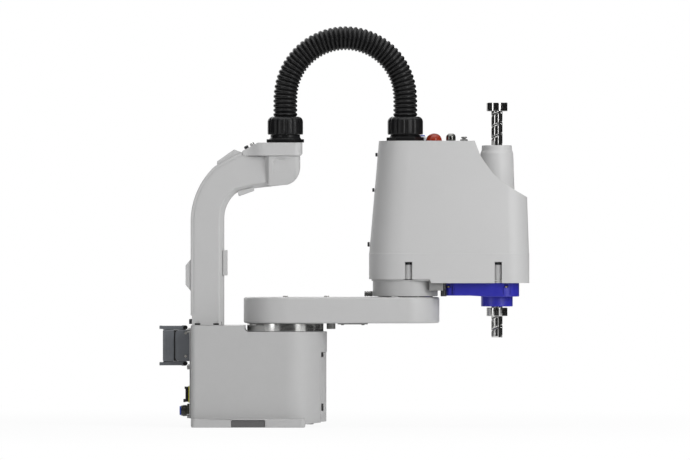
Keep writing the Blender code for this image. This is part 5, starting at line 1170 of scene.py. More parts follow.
def make_cover_screws():
    """The screws at the cover's rear and on the posts in its slots."""
    for word in ("top", "middle", "bottom"):
        node = "cover_screw_" + word
        face = rear_face_x(middle(node).z - HUB_Z)
        node_screw("cover_bolt_" + word, node, (-1, 0, 0), "arm_2", "dark_steel", face - HAIR)
    for number, shift in enumerate(COVER_SLOTS):
        for side, word in SIDES:
            y = side * (slot_face(shift) - POST_RADIUS - POST_DEPTH / 2)
            place = (J2_X + shift, y, HUB_Z + POST_TOP + HAIR)
            socket_screw(f"slot_screw_{word}_{number + 1}", place, (0, 0, 1), *SLOT_SCREW, "arm_2",
                         "dark_steel")


def blue_taper(edge, taper):
    """What comes off an edge of the lower cover towards its rear, as an outline along X."""
    rear = corner_low("lower_cover").x - CLEAR
    depth, start = taper
    return [(rear, edge - CLEAR), (SHAFT_X + start, edge - CLEAR), (SHAFT_X + start, edge - HAIR),
            (SHAFT_X + BLUE_TAPER_END, edge + depth), (rear, edge + depth)]


def blue_shell():
    """The lower cover's outside, slimmer and higher towards the rear, with a step round its rim."""
    low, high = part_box("lower_cover")
    floor = low.z + BOSS_HEIGHT
    half, top = high.y, high.z + OVERSHOOT
    plan = rounded_box(low.x, high.x, -half, half, BLUE_CORNERS, 14)
    shell = new_object("blue_cover", prism(plan, floor, high.z))
    for side, _ in SIDES:
        waist = [(x, -side * y) for x, y in blue_taper(-half, BLUE_WAIST)]
        combine(shell, prism(waist, floor - OVERSHOOT, top))
    combine(shell, prism(blue_taper(floor, BLUE_RISE), -half - CLEAR, half + CLEAR, "Y"))
    round_edges(shell, BLUE_EDGE, 3, 20)
    ends, sides, height = RIM_STEP
    outside = rounded_box(low.x - CLEAR, high.x + CLEAR, -half - CLEAR, half + CLEAR, CLEAR)
    rim = new_object("rim", prism(outside, high.z - height, top))
    corners = tuple(corner - 0.0005 for corner in BLUE_CORNERS)
    inside = rounded_box(low.x + ends, high.x - ends, -half + sides, half - sides, corners, 14)
    combine(rim, prism(inside, high.z - CLEAR, high.z + CLEAR))
    combine(shell, from_object(rim))
    return shell


def blue_edge(x):
    """Half the lower cover's width at a place along it."""
    low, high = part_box("lower_cover")
    corner = BLUE_CORNERS[0]
    near = x - low.x
    if near < corner:
        return high.y - corner + math.sqrt(corner ** 2 - (corner - near) ** 2)
    return high.y - (BLUE_WAIST[0] if x < SHAFT_X + BLUE_FRONT else 0)


def make_lower_cover():
    """The blue cover under the front of the arm, with its boss, notches and screws."""
    low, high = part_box("lower_cover")
    floor = low.z + BOSS_HEIGHT
    half, top = high.y, high.z + OVERSHOOT
    shell = blue_shell()
    boss = softened(bar(BOSS_RADIUS, low.z, floor + NOSE_RUN), BOSS_EDGE)
    combine(shell, turned(boss, WIDE_STEPS), "UNION", SHAFT_AXIS)
    wall = BLUE_WALL + BLUE_WAIST[0]
    corners = tuple(corner - BLUE_WALL for corner in BLUE_CORNERS)
    hollow = rounded_box(low.x + BLUE_END_WALL, high.x - BLUE_WALL, -half + wall, half - wall, corners, 12)
    combine(shell, prism(hollow, floor + BLUE_WALL + BLUE_RISE[0], top))
    drill(shell, BOSS_BORE, low.z - OVERSHOOT, high.z, SHAFT_AXIS)
    lift, ledge = floor + BLUE_GROOVE_LIFT, BLUE_LEDGE + DROP_BLOCK_EDGE
    cuts = ((-0.0030, 0.0030, 0.0040, BLUE_LEDGE, top), (0.0046, 0.0068, 0.0034, lift, top),
            (-0.0047, -0.0037, 0.0007, lift, ledge), (0.0079, 0.0089, 0.0007, lift, ledge))
    for number, x in enumerate(BLUE_SCREWS):
        edge = blue_edge(x)
        for side, word in SIDES:
            for start, end, depth, foot, head in cuts:
                depths = at_side(side, edge - depth, half + CLEAR)
                combine(shell, block(x + start, x + end, *depths, foot, head))
            place = (x, side * (edge - BLUE_SCREW_DEPTH), BLUE_LEDGE + HAIR)
            socket_screw(f"blue_screw_{word}_{number + 1}", place, (0, 0, 1), *BLUE_SCREW, "arm_2", "brass")
    dress(shell, "blue", "arm_2", "lower_cover")


def groove(apart, width, depth):
    """How deep a round groove is at a distance from its middle."""
    return depth * math.sqrt(max(1 - (apart / width) ** 2, 0))


def turn_apart(angle, other):
    """The smaller way round from one angle to another."""
    return abs((angle - other + math.pi) % (2 * math.pi) - math.pi)


def shaft_radius(radius, angle, height):
    """The shaft's radius at a place: it has straight grooves and a helical thread."""
    starts = [math.radians(GROOVE_START) + 2 * math.pi * n / GROOVE_COUNT for n in range(GROOVE_COUNT)]
    along = min(turn_apart(angle, start) for start in starts)
    across = turn_apart(angle, 2 * math.pi * height / SHAFT_LEAD) * THREAD_SLANT
    return radius - max(groove(along * radius, GROOVE_WIDTH, GROOVE_DEPTH),
                        groove(across * radius, THREAD_WIDTH, THREAD_DEPTH))


def make_shaft():
    """The ball screw spline shaft, and the near-black tube under its grooves: grease, and painted shade in
    the grooves.
    """
    low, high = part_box("shaft")
    radius = half_size("shaft").y
    steps, levels = SHAFT_STEPS
    angles = [2 * math.pi * i / steps for i in range(steps)]
    sections = []
    for k in range(levels + 1):
        height = low.z + (high.z - low.z) * k / levels
        end_edge = SHAFT_END_EDGE if k in (0, levels) else 0
        radii = [shaft_radius(radius, a, height) - end_edge for a in angles]
        sections.append(([(r * math.cos(a), r * math.sin(a)) for r, a in zip(radii, angles)], height))
    bore = [(SHAFT_BORE * math.cos(a), SHAFT_BORE * math.sin(a)) for a in angles]
    sections += [(bore, high.z), (bore, low.z), sections[0]]
    build = bmesh.new()
    rings = [[build.verts.new((x, y, level)) for x, y in outline] for outline, level in sections[:-1]]
    for first, second in zip(rings, rings[1:] + rings[:1]):
        join_rings(build, first, second)
    shaft = new_object("spline_shaft", build)
    shaft.location = SHAFT_AXIS
    dress(shaft, "bright_steel", "z_shaft", "shaft")
    # Near-black tube under the grooves: grease, and painted shade in the grooves
    tube = bar(radius - GREASE_AND_SHADE_DEPTH, low.z + SEAT, high.z - SEAT, SHAFT_BORE + SEAT)
    grease = new_object("groove_grease_and_shade", turned(tube))
    grease.location = SHAFT_AXIS
    dress(grease, "gasket_and_shade", "z_shaft")


def make_collars():
    """The two collars that stop the shaft, with their screw holes."""
    inner = half_size("shaft").y + SEAT
    for word in ("upper", "lower"):
        low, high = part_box(word + "_collar")
        outer = (high.x - low.x) / 2
        profile = softened(bar(outer, low.z, high.z, inner), COLLAR_EDGE)
        collar = new_object("collar_" + word, turned(profile, WIDE_STEPS))
        collar.location = SHAFT_AXIS
        for angle in COLLAR_HOLES:
            hole = turned(bar(COLLAR_HOLE_RADIUS, inner + NOSE_RUN, outer + OVERSHOOT), 24, "X")
            turn = Matrix.Rotation(math.radians(angle), 3, "Z")
            bmesh.ops.rotate(hole, cent=(0, 0, 0), matrix=turn, verts=hole.verts)
            combine(collar, hole, at=(SHAFT_X, 0, (low.z + high.z) / 2))
        dress(collar, "bright_steel", "z_shaft", word + "_collar")


def conduit_bend(share):
    """How tightly the conduit bends at a share of its length: nothing at the ends, eased in between."""
    from_end = min(share, 1 - share)
    rise = min(max((from_end - CONDUIT_STRAIGHT) / (2 * CONDUIT_EASE) + 0.5, 0), 1)
    return rise * rise * (3 - 2 * rise)


def conduit_route(count):
    """Points on the conduit's centreline, in the plane of the arm, with the way that it runs at each."""
    bends = [conduit_bend((i + 0.5) / count) for i in range(count)]
    place = Vector((0, 0))
    heading = math.pi / 2
    track = [(place.copy(), heading)]
    for bend in bends:
        turn = math.pi * bend / sum(bends)
        heading -= turn / 2
        place += Vector((math.cos(heading), math.sin(heading))) / count
        heading -= turn / 2
        track.append((place.copy(), heading))
    scale = J2_X / track[-1][0].x
    lift = track[-1][0].y
    start = NUT_FOOT_Z + SEAT
    return [
        (Vector((p.x * scale, start + (p.y - lift * k / count) * scale)), heading)
        for k, (p, heading) in enumerate(track)
    ]


def make_conduit():
    """The corrugated conduit: rings of wide crests with narrow valleys, along the arch."""
    build = bmesh.new()
    count = CONDUIT_RINGS * CONDUIT_RING_STEPS
    angles = [2 * math.pi * i / 40 for i in range(40)]
    rings = []
    for k, (place, heading) in enumerate(conduit_route(count)):
        wave = (1 + math.cos(2 * math.pi * k * CONDUIT_RINGS / count)) / 2
        radius = CONDUIT_RADIUS - CONDUIT_DEPTH * wave ** CONDUIT_CREST
        side = Vector((-math.sin(heading), math.cos(heading)))
        points = [(place + side * radius * math.cos(a), radius * math.sin(a)) for a in angles]
        rings.append([build.verts.new((p.x, y, p.y)) for p, y in points])
    build.faces.new(rings[0])
    build.faces.new(rings[-1])
    for first, second in zip(rings, rings[1:]):
        join_rings(build, first, second)
    dress(new_object("conduit", build), "hose", "arm_1", "cable_conduit", sharp=60)


def nut_plan(radius, depth):
    """A gland nut from above, with grip ribs and narrow grooves between them."""
    points = []
    steps = NUT_GRIPS * NUT_GRIP_STEPS
    for i in range(steps):
        share = abs((i / NUT_GRIP_STEPS) % 1 - 0.5) * 2
        fall = max(1 - (1 - share) / NUT_GRIP_WIDTH, 0)
        here = radius - depth * math.sin(fall * math.pi / 2)
        angle = 2 * math.pi * i / steps
        points.append((here * math.cos(angle), here * math.sin(angle)))
    return points


def make_gland(node, body):
    """A gland: hexagon, neck, and the ribbed nut that clamps the conduit."""
    low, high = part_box(node)
    place = (middle(node).x, 0, 0)
    foot = prism(hexagon(half_size(node).x), low.z, low.z + GLAND_HEXAGON_HEIGHT)
    gland = new_object(node + "_hexagon", foot)
    round_edges(gland, GLAND_EDGE, 3, 20)
    neck = [(r, low.z + level) for r, level in ((0, GLAND_NECK[0][1]), *GLAND_NECK)]
    neck += [(GLAND_NECK[-1][0], high.z), (0, high.z)]
    combine(gland, turned(softened(neck, GLAND_EDGE), WIDE_STEPS), "UNION")
    drill(gland, GLAND_BORE, low.z - OVERSHOOT, high.z + OVERSHOOT)
    gland.location = place
    dress(gland, "black", body, node)
    low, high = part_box(node + "_nut")
    radius = half_size(node + "_nut").y
    levels = [(inset, share, low.z + level) for inset, share, level in NUT_FOOT]
    levels += [(inset, share, high.z - level) for inset, share, level in NUT_SHOULDER]
    nut = new_object(node + "_grip", loft([
        (nut_plan(radius - inset, NUT_GRIP_DEPTH * share), level) for inset, share, level in levels
    ]))
    drill(nut, CONDUIT_RADIUS + NUT_CLEARANCE, low.z - OVERSHOOT, high.z + OVERSHOOT)
    nut.location = place
    dress(nut, "black", body, node + "_nut", sharp=50)


def duct_inner_line(foot):
    """The duct's inner side: up the column, round the bend and along the underside."""
    bend = arc(INNER_BEND, DUCT_INNER_BEND_RADIUS, 180, DUCT_INNER_BEND_ANGLE, DUCT_INNER_BEND_STEPS)
    return [(-DUCT_FRONT, foot)] + bend + UNDERSIDE


def duct_side(drop=0.0):
    """The duct from the side: up the column, round the bend, over the first axis. A drop lowers its foot."""
    foot = DECK_Z + SEAT - drop
    nose_rx, nose_rz = DUCT_NOSE_ARC
    return (
        duct_inner_line(foot)
        + arc((DUCT_NOSE - nose_rx, UNDERSIDE[1][1] + nose_rz), DUCT_NOSE_ARC, 280, 360, 18)
        + [(DUCT_NOSE, HEAD_Z), (DUCT_TONGUE_END, HEAD_Z), SLOPE_END]
        + arc(BEND, DUCT_BEND_FORWARD, DUCT_BEND_ANGLE, 180, DUCT_BEND_STEPS)
        + [(-DUCT_REAR, foot)]
    )


def inset_outline(points, gap):
    """Move an outline's sides inwards by a gap. The outline runs anticlockwise."""
    moved = []
    for i, here in enumerate(points):
        before = (Vector(here) - Vector(points[i - 1])).normalized()
        after = (Vector(points[(i + 1) % len(points)]) - Vector(here)).normalized()
        normal = Vector((-before.y - after.y, before.x + after.x)).normalized()
        lean = max(normal.dot(Vector((-after.y, after.x))), 0.3)
        moved.append(tuple(Vector(here) + normal * gap / lean))
    return moved


def duct_plan(inset, front, share):
    """The duct from above: a narrow column that flares into the head, by a share of the flare."""
    narrow = DUCT_HALF_WIDTH - inset
    wide = narrow + (DUCT_HEAD_HALF_WIDTH - DUCT_HALF_WIDTH) * share
    rear = -DUCT_REAR - (OVERSHOOT if inset <= 0 else -inset)
    corner = DUCT_HEAD_CORNER
    return mirrored(
        [(rear, -narrow), (DUCT_FLARE[0], -narrow), (DUCT_FLARE[1], -wide)]
        + arc((front - inset - corner, -wide + corner), corner, 270, 360, 12)
    )


def duct_loft(inset, front):
    """The duct's widths at each height: the head widens from its underside to its top and beyond."""
    foot_share, head_share = DUCT_FLARE_SHARES
    top_share = head_share + (1 - head_share) * (HEAD_ROOM + HEAD_DRAFT_HEIGHT) / HEAD_DRAFT_HEIGHT
    return loft([
        (duct_plan(inset, front, foot_share), DECK_Z - 2 * CLEAR),
        (duct_plan(inset, front, head_share), HEAD_Z - HEAD_DRAFT_HEIGHT),
        (duct_plan(inset, front, top_share), HEAD_Z + HEAD_ROOM),
    ])


def pad_outline(corner, way, side, pad):
    """A pad on a straight side of the duct. Its lengths run from a corner of the duct along that side."""
    start, end, start_proud, end_proud, start_lean, end_lean = pad
    corner = Vector(corner)
    way = Vector(way).normalized()
    out = Vector((way.y, -way.x)) * side
    places = (
        (start, -PAD_SINK), (end, -PAD_SINK), (end - end_lean, end_proud), (start + start_lean, start_proud),
    )
    return [tuple(corner + way * along + out * proud) for along, proud in places]


def duct_pads():
    """The four raised pads along the duct's seam, each as an outline from the side."""
    foot = DECK_Z + SEAT
    outer_end = Vector(arc(BEND, DUCT_BEND_FORWARD, 180, DUCT_BEND_ANGLE, 1)[-1])
    inner_end = Vector(arc(INNER_BEND, DUCT_INNER_BEND_RADIUS, 180, DUCT_INNER_BEND_ANGLE, 1)[-1])
    return [
        pad_outline((-DUCT_REAR, foot), (0, 1), -1, COLUMN_REAR_PAD),
        pad_outline((-DUCT_FRONT, foot), (0, 1), 1, COLUMN_FRONT_PAD),
        pad_outline(outer_end, Vector(SLOPE_END) - outer_end, -1, SLOPE_PAD),
        pad_outline(inner_end, Vector(UNDERSIDE[0]) - inner_end, 1, UNDERSIDE_PAD),
    ]


def duct_body(name, reach):
    """The whole duct's outside, with its inner edges chamfered, cut flat at its foot."""
    body = new_object(name, prism(duct_side(DUCT_TRIM), -reach, reach, "Y"))
    combine(body, duct_loft(0, DUCT_NOSE + OVERSHOOT), "INTERSECT")
    inner_line = duct_inner_line(DECK_Z + SEAT - DUCT_TRIM)

    def on_inner_edge(corner):
        """Whether a corner of the mesh lies on the long edge of the duct's inner side."""
        at_face = abs(abs(corner.y) - DUCT_HALF_WIDTH) < MERGE
        return at_face and line_distance(Vector((corner.x, corner.z)), inner_line) < SEAT

    chamfer(body, DUCT_CHAMFER, on_inner_edge)
    round_edges(body, DUCT_EDGE, 3, 25, False)
    combine(body, block(-DUCT_REAR - CLEAR, 0, -reach, reach, DECK_Z - 2 * DUCT_TRIM, DECK_Z + SEAT))
    return body


def hollow_duct(body, reach):
    """Cut the cable's way through the duct."""
    hollow = new_object("duct_hollow", prism(inset_outline(duct_side(), DUCT_WALL), -reach, reach, "Y"))
    combine(hollow, duct_loft(DUCT_HOLLOW_WALL, DUCT_NOSE), "INTERSECT")
    combine(body, from_object(hollow))
    inner = DUCT_HALF_WIDTH - DUCT_WALL
    combine(body, block(-DUCT_REAR + DUCT_WALL, -DUCT_FRONT - DUCT_WALL, -inner, inner, DECK_Z - OVERSHOOT,
                        DECK_Z + 2 * DUCT_WALL))
    drill(body, GLAND_BORE, HEAD_Z - 2 * DUCT_WALL, HEAD_Z + OVERSHOOT)


def head_panel(side):
    """The recess in a side of the head. Its mouth follows the drafted face, and its floor is upright."""
    face = side * DUCT_HEAD_HALF_WIDTH
    rear, front = HEAD_PANEL
    top, bottom = (HEAD_Z - drop for drop in HEAD_PANEL_DROPS)
    insets = HEAD_PANEL_INSETS
    mouth = rounded_box(rear, front, bottom, top, HEAD_PANEL_CORNERS[0])
    floor = rounded_box(rear + insets[0], front - insets[1], bottom + insets[2], top - insets[3],
                        HEAD_PANEL_CORNERS[1])
    recess = loft([(mouth, face + side * HAIR), (floor, face - side * HEAD_PANEL_DEPTH)], "Y")
    for corner in recess.verts:
        if side * (face - corner.co.y) < 0:
            corner.co.y -= side * HEAD_DRAFT * (HEAD_Z - corner.co.z)
    return recess


def cut_foot(body, side, reach):
    """The notch behind the column's foot, and the slots and wedges in its side."""
    depth, height, climb = COLUMN_NOTCH
    rear, deep = -DUCT_REAR - CLEAR, -DUCT_REAR + depth
    notch = [(rear, DECK_Z - CLEAR), (deep, DECK_Z - CLEAR), (deep, DECK_Z + height - depth),
             (rear, DECK_Z + height + climb)]
    combine(body, prism(notch, -reach, reach, "Y"))
    slot_foot, slot_top, slot_depth = FOOT_SLOT
    wedge_foot, wedge_top, wedge_depth, inset = FOOT_WEDGE
    face = side * (DUCT_HALF_WIDTH + NOSE_RUN)
    wedge = [(face, DECK_Z + wedge_foot), (side * (DUCT_HALF_WIDTH - wedge_depth), DECK_Z + wedge_foot),
             (face, DECK_Z + wedge_top)]
    depths = at_side(side, DUCT_HALF_WIDTH + CLEAR, DUCT_HALF_WIDTH - slot_depth)
    for start, end in FOOT_SLOTS:
        combine(body, block(start, end, *depths, DECK_Z + slot_foot, DECK_Z + slot_top))
        combine(body, prism(wedge, start + inset, end - inset, "X"))


def make_duct_half(word, side):
    """Half of the duct, with its groove, pads, head panel and foot slots."""
    reach = DUCT_HEAD_HALF_WIDTH + OVERSHOOT
    half = duct_body("duct_half_" + word, reach)
    near, far, sunk = DUCT_GROOVE
    lines = []
    for gap in (near, far):
        line = inset_outline(duct_side(), gap)[-DUCT_BEND_STEPS - 3:-1]
        lines.append(line + [(line[-1][0], DECK_Z + DUCT_GROOVE_FOOT)])
    combine(half, prism(lines[0] + lines[1][::-1], *at_side(side, DUCT_HALF_WIDTH - sunk, reach), "Y"))
    for number, outline in enumerate(duct_pads()):
        pad = new_object(f"pad_{number}", prism(outline, -PAD_HALF_WIDTH, PAD_HALF_WIDTH, "Y"))
        round_edges(pad, PAD_EDGE, 2, 20)
        combine(half, from_object(pad), "UNION")
    hollow_duct(half, reach)
    combine(half, head_panel(side))
    cut_foot(half, side, reach)
    other = at_side(side, SEAT / 2, -reach - CLEAR)
    combine(half, block(-DUCT_REAR - reach, DUCT_NOSE + reach, *other, DECK_Z - OVERSHOOT,
                        HEAD_Z + HEAD_ROOM))
    dress(half, "duct", "base", "duct_" + word)


def make_duct_seal():
    """The rubber seal round the cables in the column's foot."""
    inner = DUCT_HALF_WIDTH - DUCT_WALL - SEAT
    rear, front = -DUCT_REAR + DUCT_WALL + SEAT, -DUCT_FRONT - DUCT_WALL - SEAT
    wall = DUCT_SEAL_WALL
    outside = rounded_box(rear, front, -inner, inner, DUCT_SEAL_CORNERS[0], 5)
    inside = rounded_box(rear + wall, front - wall, -inner + wall, inner - wall, DUCT_SEAL_CORNERS[1], 6)
    seal = new_object("duct_seal", prism(outside, DECK_Z + SEAT, DECK_Z + DUCT_SEAL_HEIGHT))
    combine(seal, prism(inside, DECK_Z - OVERSHOOT, DECK_Z + 2 * DUCT_SEAL_HEIGHT))
    round_edges(seal, DUCT_SEAL_EDGE, 2, 50)
    dress(seal, "gasket_and_shade", "base")


def lid_plan():
    """The lid from above: its sides swing out softly from the slope to the head."""
    wide = DUCT_HEAD_HALF_WIDTH + LID_PROUD
    narrow = DUCT_HALF_WIDTH + LID_PROUD
    corner = DUCT_HEAD_CORNER
    start, end = LID_SWING
    right = [(SLOPE_END[0] - OVERSHOOT, -narrow)]
    for k in range(LID_SWING_STEPS + 1):
        share = k / LID_SWING_STEPS
        rise = share * share * (3 - 2 * share)
        right.append((start + (end - start) * share, -narrow - (wide - narrow) * rise))
    return mirrored(right + arc((DUCT_NOSE + LID_OVERHANG - corner, -wide + corner), corner, 270, 360, 12))


def make_lid():
    """The lid on the duct's head, with its slanted rear end and the screws on it."""
    foot = HEAD_Z + SEAT
    front = DUCT_NOSE + LID_OVERHANG
    end = (SLOPE_END[0], SLOPE_END[1] + SEAT)
    slope_top = (end[0] + LID_SLOPE_RUN, LID_TOP)
    slope_foot = (end[0] + LID_LIP[0], end[1] + LID_LIP[1])
    skirt = [(DUCT_NOSE, foot), (front, foot + LID_OVERHANG), (front, LID_TOP), slope_top, slope_foot, end,
             (LID_CORNER_X, foot)]
    reach = DUCT_HEAD_HALF_WIDTH + OVERSHOOT
    lid = new_object("lid", prism(skirt, -reach, reach, "Y"))
    combine(lid, prism(lid_plan(), HEAD_Z, LID_TOP + OVERSHOOT), "INTERSECT")
    round_edges(lid, LID_EDGE, 3, 25)
    below = HEAD_Z - OVERSHOOT
    rear = end[0] - OVERSHOOT
    tongue = [(DUCT_TONGUE_END, below), (DUCT_TONGUE_END, foot), end, (rear, end[1]), (rear, below)]
    inside = DUCT_HALF_WIDTH + SEAT
    combine(lid, prism(tongue, -inside, inside, "Y"))
    drill(lid, GLAND_BORE, below, LID_TOP + OVERSHOOT)
    dress(lid, "duct", "base", "duct_lid")
    high_end, low_end = Vector(slope_top), Vector(slope_foot)
    slope = (low_end - high_end).normalized()
    for share, word, finish in LID_SCREWS:
        place = high_end.lerp(low_end, share)
        for side, hand in SIDES:
            socket_screw(f"lid_screw_{word}_{hand}", (place.x, side * LID_SCREW_SIDE, place.y),
                         (slope.y, 0, -slope.x), *LID_SCREW, "base", finish)


def make_duct():
    """The duct's halves, seal, lid and foot screws."""
    for side, word in SIDES:
        make_duct_half(word, side)
    make_duct_seal()
    make_lid()
    for _, word in SIDES:
        foot = -DUCT_REAR + COLUMN_NOTCH[0] - 2 * HAIR
        node_screw("duct_screw_" + word, "column_screw_" + word, (-1, 0, 0), "base", "dark_steel", foot)


def make_plug():
    """The power connector's housing and hood, and a near-black band behind the housing: painted shade in the
    gap round it.
    """
    low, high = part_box("connector_housing")
    low.x += HOUSING_GAP
    housing = new_object("plug_housing", prism(rounded_box(low.x, high.x, low.z, high.z, HOUSING_CORNERS, 10),
                                               low.y, high.y, "Y"))
    round_edges(housing, HOUSING_EDGE, 3, 40)
    hole_radius, hole_depth = HOUSING_SCREW_HOLE
    x = high.x - HOUSING_SCREW_BACK
    levels = (high.z - HOUSING_SCREW_LEVELS[0], low.z + HOUSING_SCREW_LEVELS[1])
    for side, _ in SIDES:
        for level in levels:
            hole = turned(bar(hole_radius, -hole_depth, OVERSHOOT), HOLE_STEPS, "Y")
            combine(housing, hole, at=(x, side * high.y, level))
    dress(housing, "connector", "base", "connector_housing")
    for side, word in SIDES:
        for number, level in enumerate(levels):
            place = (x, side * (high.y - hole_depth + HAIR), level)
            socket_screw(f"plug_screw_{word}_{number + 1}", place, (0, side, 0), *HOUSING_SCREW, "base",
                         "screw")
    low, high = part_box("connector_hood")
    low.x += HOOD_SET_BACK
    low.z -= HOOD_RAISE
    high.z += HOOD_RAISE
    side_view = rounded_box(low.x, high.x, low.z, high.z, HOOD_CORNER, 4)
    hood = new_object("plug_hood", prism(side_view, low.y, high.y, "Y"))
    round_edges(hood, HOOD_EDGE, 3, 40)
    # The near-black band behind the housing is painted shade in the gap between housing and hood
    start, end = (high.x + shift for shift in HOOD_GAP_SHADE)
    seal = new_object("plug_gap_shade", prism(end_view(low, high, *HOOD_GAP_SHADE_OUTLINE), start, end, "X"))
    dress(seal, "gasket_and_shade", "base")
    hollow = end_view(low, high, OVERSHOOT, HOOD_WALL, HOOD_WALL)
    combine(hood, prism(hollow, low.x - OVERSHOOT, high.x - HOOD_WALL, "X"))
    half_width, depth, margin = HOOD_GROOVE
    for side, _ in SIDES:
        for x in (low.x + step for step in HOOD_GROOVES):
            depths = at_side(side, high.y - depth, high.y + OVERSHOOT)
            combine(hood, block(x - half_width, x + half_width, *depths, low.z + margin, high.z - margin))
    dress(hood, "connector", "base", "connector_hood")


def make_levers():
    """The two locking levers, each with the pin that it turns on."""
    for word, way in (("upper", 1), ("lower", -1)):
        low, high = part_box("connector_lever_" + word)
        face = high.z if way > 0 else low.z
        centre = high.x - LEVER_THICKNESS / 2
        tip, tip_thickness = LEVER_TIP
        relief_start, relief_end, relief_edge, relief = LEVER_RELIEF
        points = [(low.x, -LEVER_HOOK[1]), (low.x, -tip_thickness), (low.x + tip, -tip_thickness),
                  (low.x + tip + LEVER_HOOK[0], -LEVER_THICKNESS), (centre, -LEVER_THICKNESS)]
        points += arc((centre, -LEVER_THICKNESS / 2), LEVER_THICKNESS / 2, -90, 90, 12)
        points += [(high.x - relief_end, 0.0), (high.x - relief_edge, -relief)]
        points += [(low.x + relief_start, -relief)]
        outline = [(x, face + way * z) for x, z in points]
        rounded_piece("lever_" + word, prism(outline, low.y, high.y, "Y"), "connector", word + "_lever",
                      "connector_lever_" + word, edge=LEVER_EDGE, segments=3)
        radius, proud = LEVER_PIN
        pin = bar(radius, low.y - proud, high.y + proud)
        place = (centre, 0, face - way * LEVER_THICKNESS / 2)
        turned_piece("lever_pin_" + word, pin, "black", word + "_lever", at=place, edge=SEAT,
                     steps=HOLE_STEPS, along="Y", slot="steel")


def make_signal_connector():
    """The yellow plate and the black connector on it."""
    low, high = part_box("signal_connector")
    seat = high.x - SIGNAL_PLATE
    plate_corner, body_corner, mouth_corner = SIGNAL_CORNERS
    plate = prism(end_view(low, high, plate_corner), seat, high.x, "X")
    rounded_piece("signal_plate", plate, "yellow", "base", "signal_connector")
    inset, set_back = SIGNAL_INSET
    face = low.x + set_back
    body = new_object("signal_body", prism(end_view(low, high, body_corner, inset, inset), face, seat, "X"))
    gap_y, gap_z, depth = SIGNAL_MOUTH
    mouth = end_view(low, high, mouth_corner, gap_y, gap_z)
    combine(body, prism(mouth, low.x - OVERSHOOT, low.x + depth, "X"))
    round_edges(body, SIGNAL_EDGE, 2, 40)
    dress(body, "black", "base", "signal_connector")
    for number, (shift, radius, height) in enumerate(SIGNAL_SCREWS):
        place = (face + HAIR, 0, (high.z if shift < 0 else low.z) + shift)
        socket_screw(f"signal_screw_{number + 1}", place, (-1, 0, 0), radius, height, "base", "dark_steel")


def make_air_inlet():
    """The air inlet with its blue release ring."""
    low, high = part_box("air_inlet_fitting")
    centre = middle("air_inlet_fitting")
    place = (high.x, centre.y, centre.z)
    length, flange = high.x - low.x, half_size("air_inlet_fitting").z
    outer, inner, height = INLET_RING
    end = height - length
    body = [(INLET_BORE, 0), (flange, 0), (flange, -INLET_FLANGE)]
    body += [(radius, -away) for radius, away in INLET_BODY] + [(INLET_BODY[-1][0], end), (INLET_BORE, end)]
    turned_piece("inlet_body", body, "olive", "base", "air_inlet_fitting", at=place, along="X")
    ring = [(INLET_BORE, end - HAIR), (outer, end - HAIR), (inner, -length), (INLET_BORE, -length)]
    turned_piece("inlet_ring", ring, "ring_blue", "base", "air_inlet_fitting", at=place, edge=0.0006,
                 along="X")


def make_lamp_dome():
    """The signal lamp: its socket and the hollow lens over it."""
    low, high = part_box("lamp_base")
    place = (middle("lamp_base").x, middle("lamp_base").y, 0)
    radius = half_size("lamp_base").x
    inset, drop = LAMP_STEP
    socket = bar(radius - inset, low.z, high.z - drop)
    turned_piece("lamp_socket", socket, "black", "arm_2", "lamp_base", at=place, edge=SEAT)
    height = corner_high("lamp_dome").z - low.z
    shell = smooth_line([(radius * r, max(height * z, HAIR)) for r, z in LENS], 4)
    inner = [(max(r - LENS_WALL, 0), max(z - LENS_WALL, HAIR)) for r, z in reversed(shell)]
    lens = new_object("lamp_lens", turned([(r, low.z + z) for r, z in inner + shell], 80))
    lens.location = place
    dress(lens, "lens", "arm_2", "lamp_dome", sharp=60)


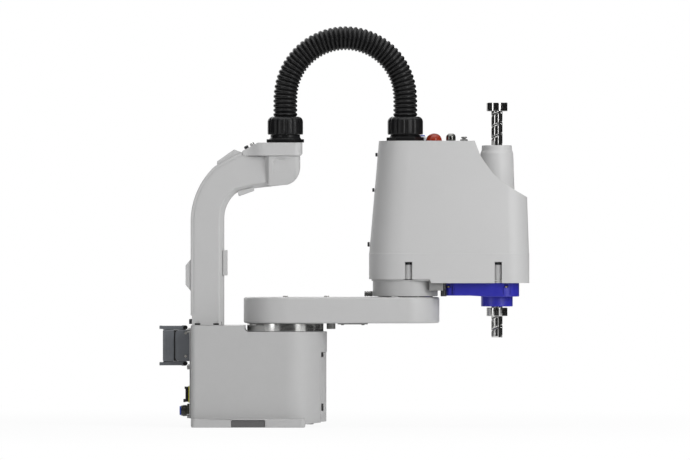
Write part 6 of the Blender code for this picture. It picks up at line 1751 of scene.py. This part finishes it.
def make_air_fittings():
    """The two air fittings on the cover."""
    low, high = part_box("air_fitting_black")
    radius, tall = half_size("air_fitting_black").x, high.z - low.z
    place = (middle("air_fitting_black").x, 0, low.z)
    outer, inner, depth = FITTING_MOUTH
    body = [(FITTING_BORE, 0), (radius * 0.95, 0), (radius, depth)]
    body += [(radius * r, tall * z) for r, z in FITTING_BLACK]
    body += [(outer, tall), (inner, tall - depth), (FITTING_BORE, tall - depth)]
    turned_piece("fitting_black", body, "chrome_black", "arm_2", "air_fitting_black", at=place, edge=0.0010)

    low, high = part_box("air_fitting_white")
    radius, tall = half_size("air_fitting_white").x, high.z - low.z
    place = (middle("air_fitting_white").x, middle("air_fitting_white").y, low.z)
    slim, top = radius * FITTING_WHITE[0], tall * FITTING_WHITE[1]
    body = [(FITTING_BORE, 0), (radius, 0), (radius, NOSE_RUN), (slim, top), (FITTING_BORE, top)]
    turned_piece("fitting_white", body, "white", "arm_2", "air_fitting_white", at=place)
    (wide, foot), (narrow, end) = ((radius * r, tall * z) for r, z in FITTING_RING)
    ring = [(FITTING_BORE, foot), (wide, foot), (narrow, end), (FITTING_BORE, end)]
    turned_piece("fitting_ring", ring, "ring_blue", "arm_2", "air_fitting_white", at=place, edge=0.0004)


def make_brake_button():
    """The brake release button in its hexagonal bezel."""
    low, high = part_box("button_bezel")
    radius = half_size("button_bezel").x
    bezel = [(BEZEL_BORE, low.z), (radius, low.z), (radius - 0.0006, high.z), (BEZEL_BORE, high.z)]
    place = (middle("button_bezel").x, 0, 0)
    turned_piece("bezel", bezel, "mid_steel", "arm_2", "button_bezel", at=place, steps=6, slot="aluminium")
    low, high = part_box("brake_button")
    radius = half_size("brake_button").x
    thick, edge, bevel, dish = BUTTON_CAP
    cap = [(0, low.z), (BUTTON_STEM, low.z), (BUTTON_STEM, high.z - thick), (radius, high.z - thick),
           (radius, high.z - edge), (radius - bevel, high.z), (0, high.z - dish)]
    place = (middle("brake_button").x, 0, 0)
    turned_piece("button", cap, "mid_steel", "release_button", "brake_button", at=place, edge=SEAT,
                 slot="aluminium")


def dress_kept_nodes():
    """Finish the nodes whose shape stays."""
    for finish, nodes in KEPT_NODES.items():
        for node in nodes:
            for slot in frame["nodes"][node].material_slots:
                slot.material = MATERIALS[finish]


def main():
    """Build the scene."""
    make_camera()
    make_stage()
    for name, (_, colour, roughness, extra) in FINISHES.items():
        MATERIALS[name] = surface(name, colour, roughness, **extra)
    make_base()
    make_front_cover()
    make_rear_panel()
    make_first_arm()
    make_second_arm()
    make_cover()
    make_cover_screws()
    make_lower_cover()
    make_shaft()
    make_collars()
    make_conduit()
    make_gland("duct_gland", "base")
    make_gland("arm_gland", "arm_2")
    make_duct()
    make_plug()
    make_levers()
    make_signal_connector()
    make_air_inlet()
    make_lamp_dome()
    make_air_fittings()
    make_brake_button()
    dress_kept_nodes()


main()
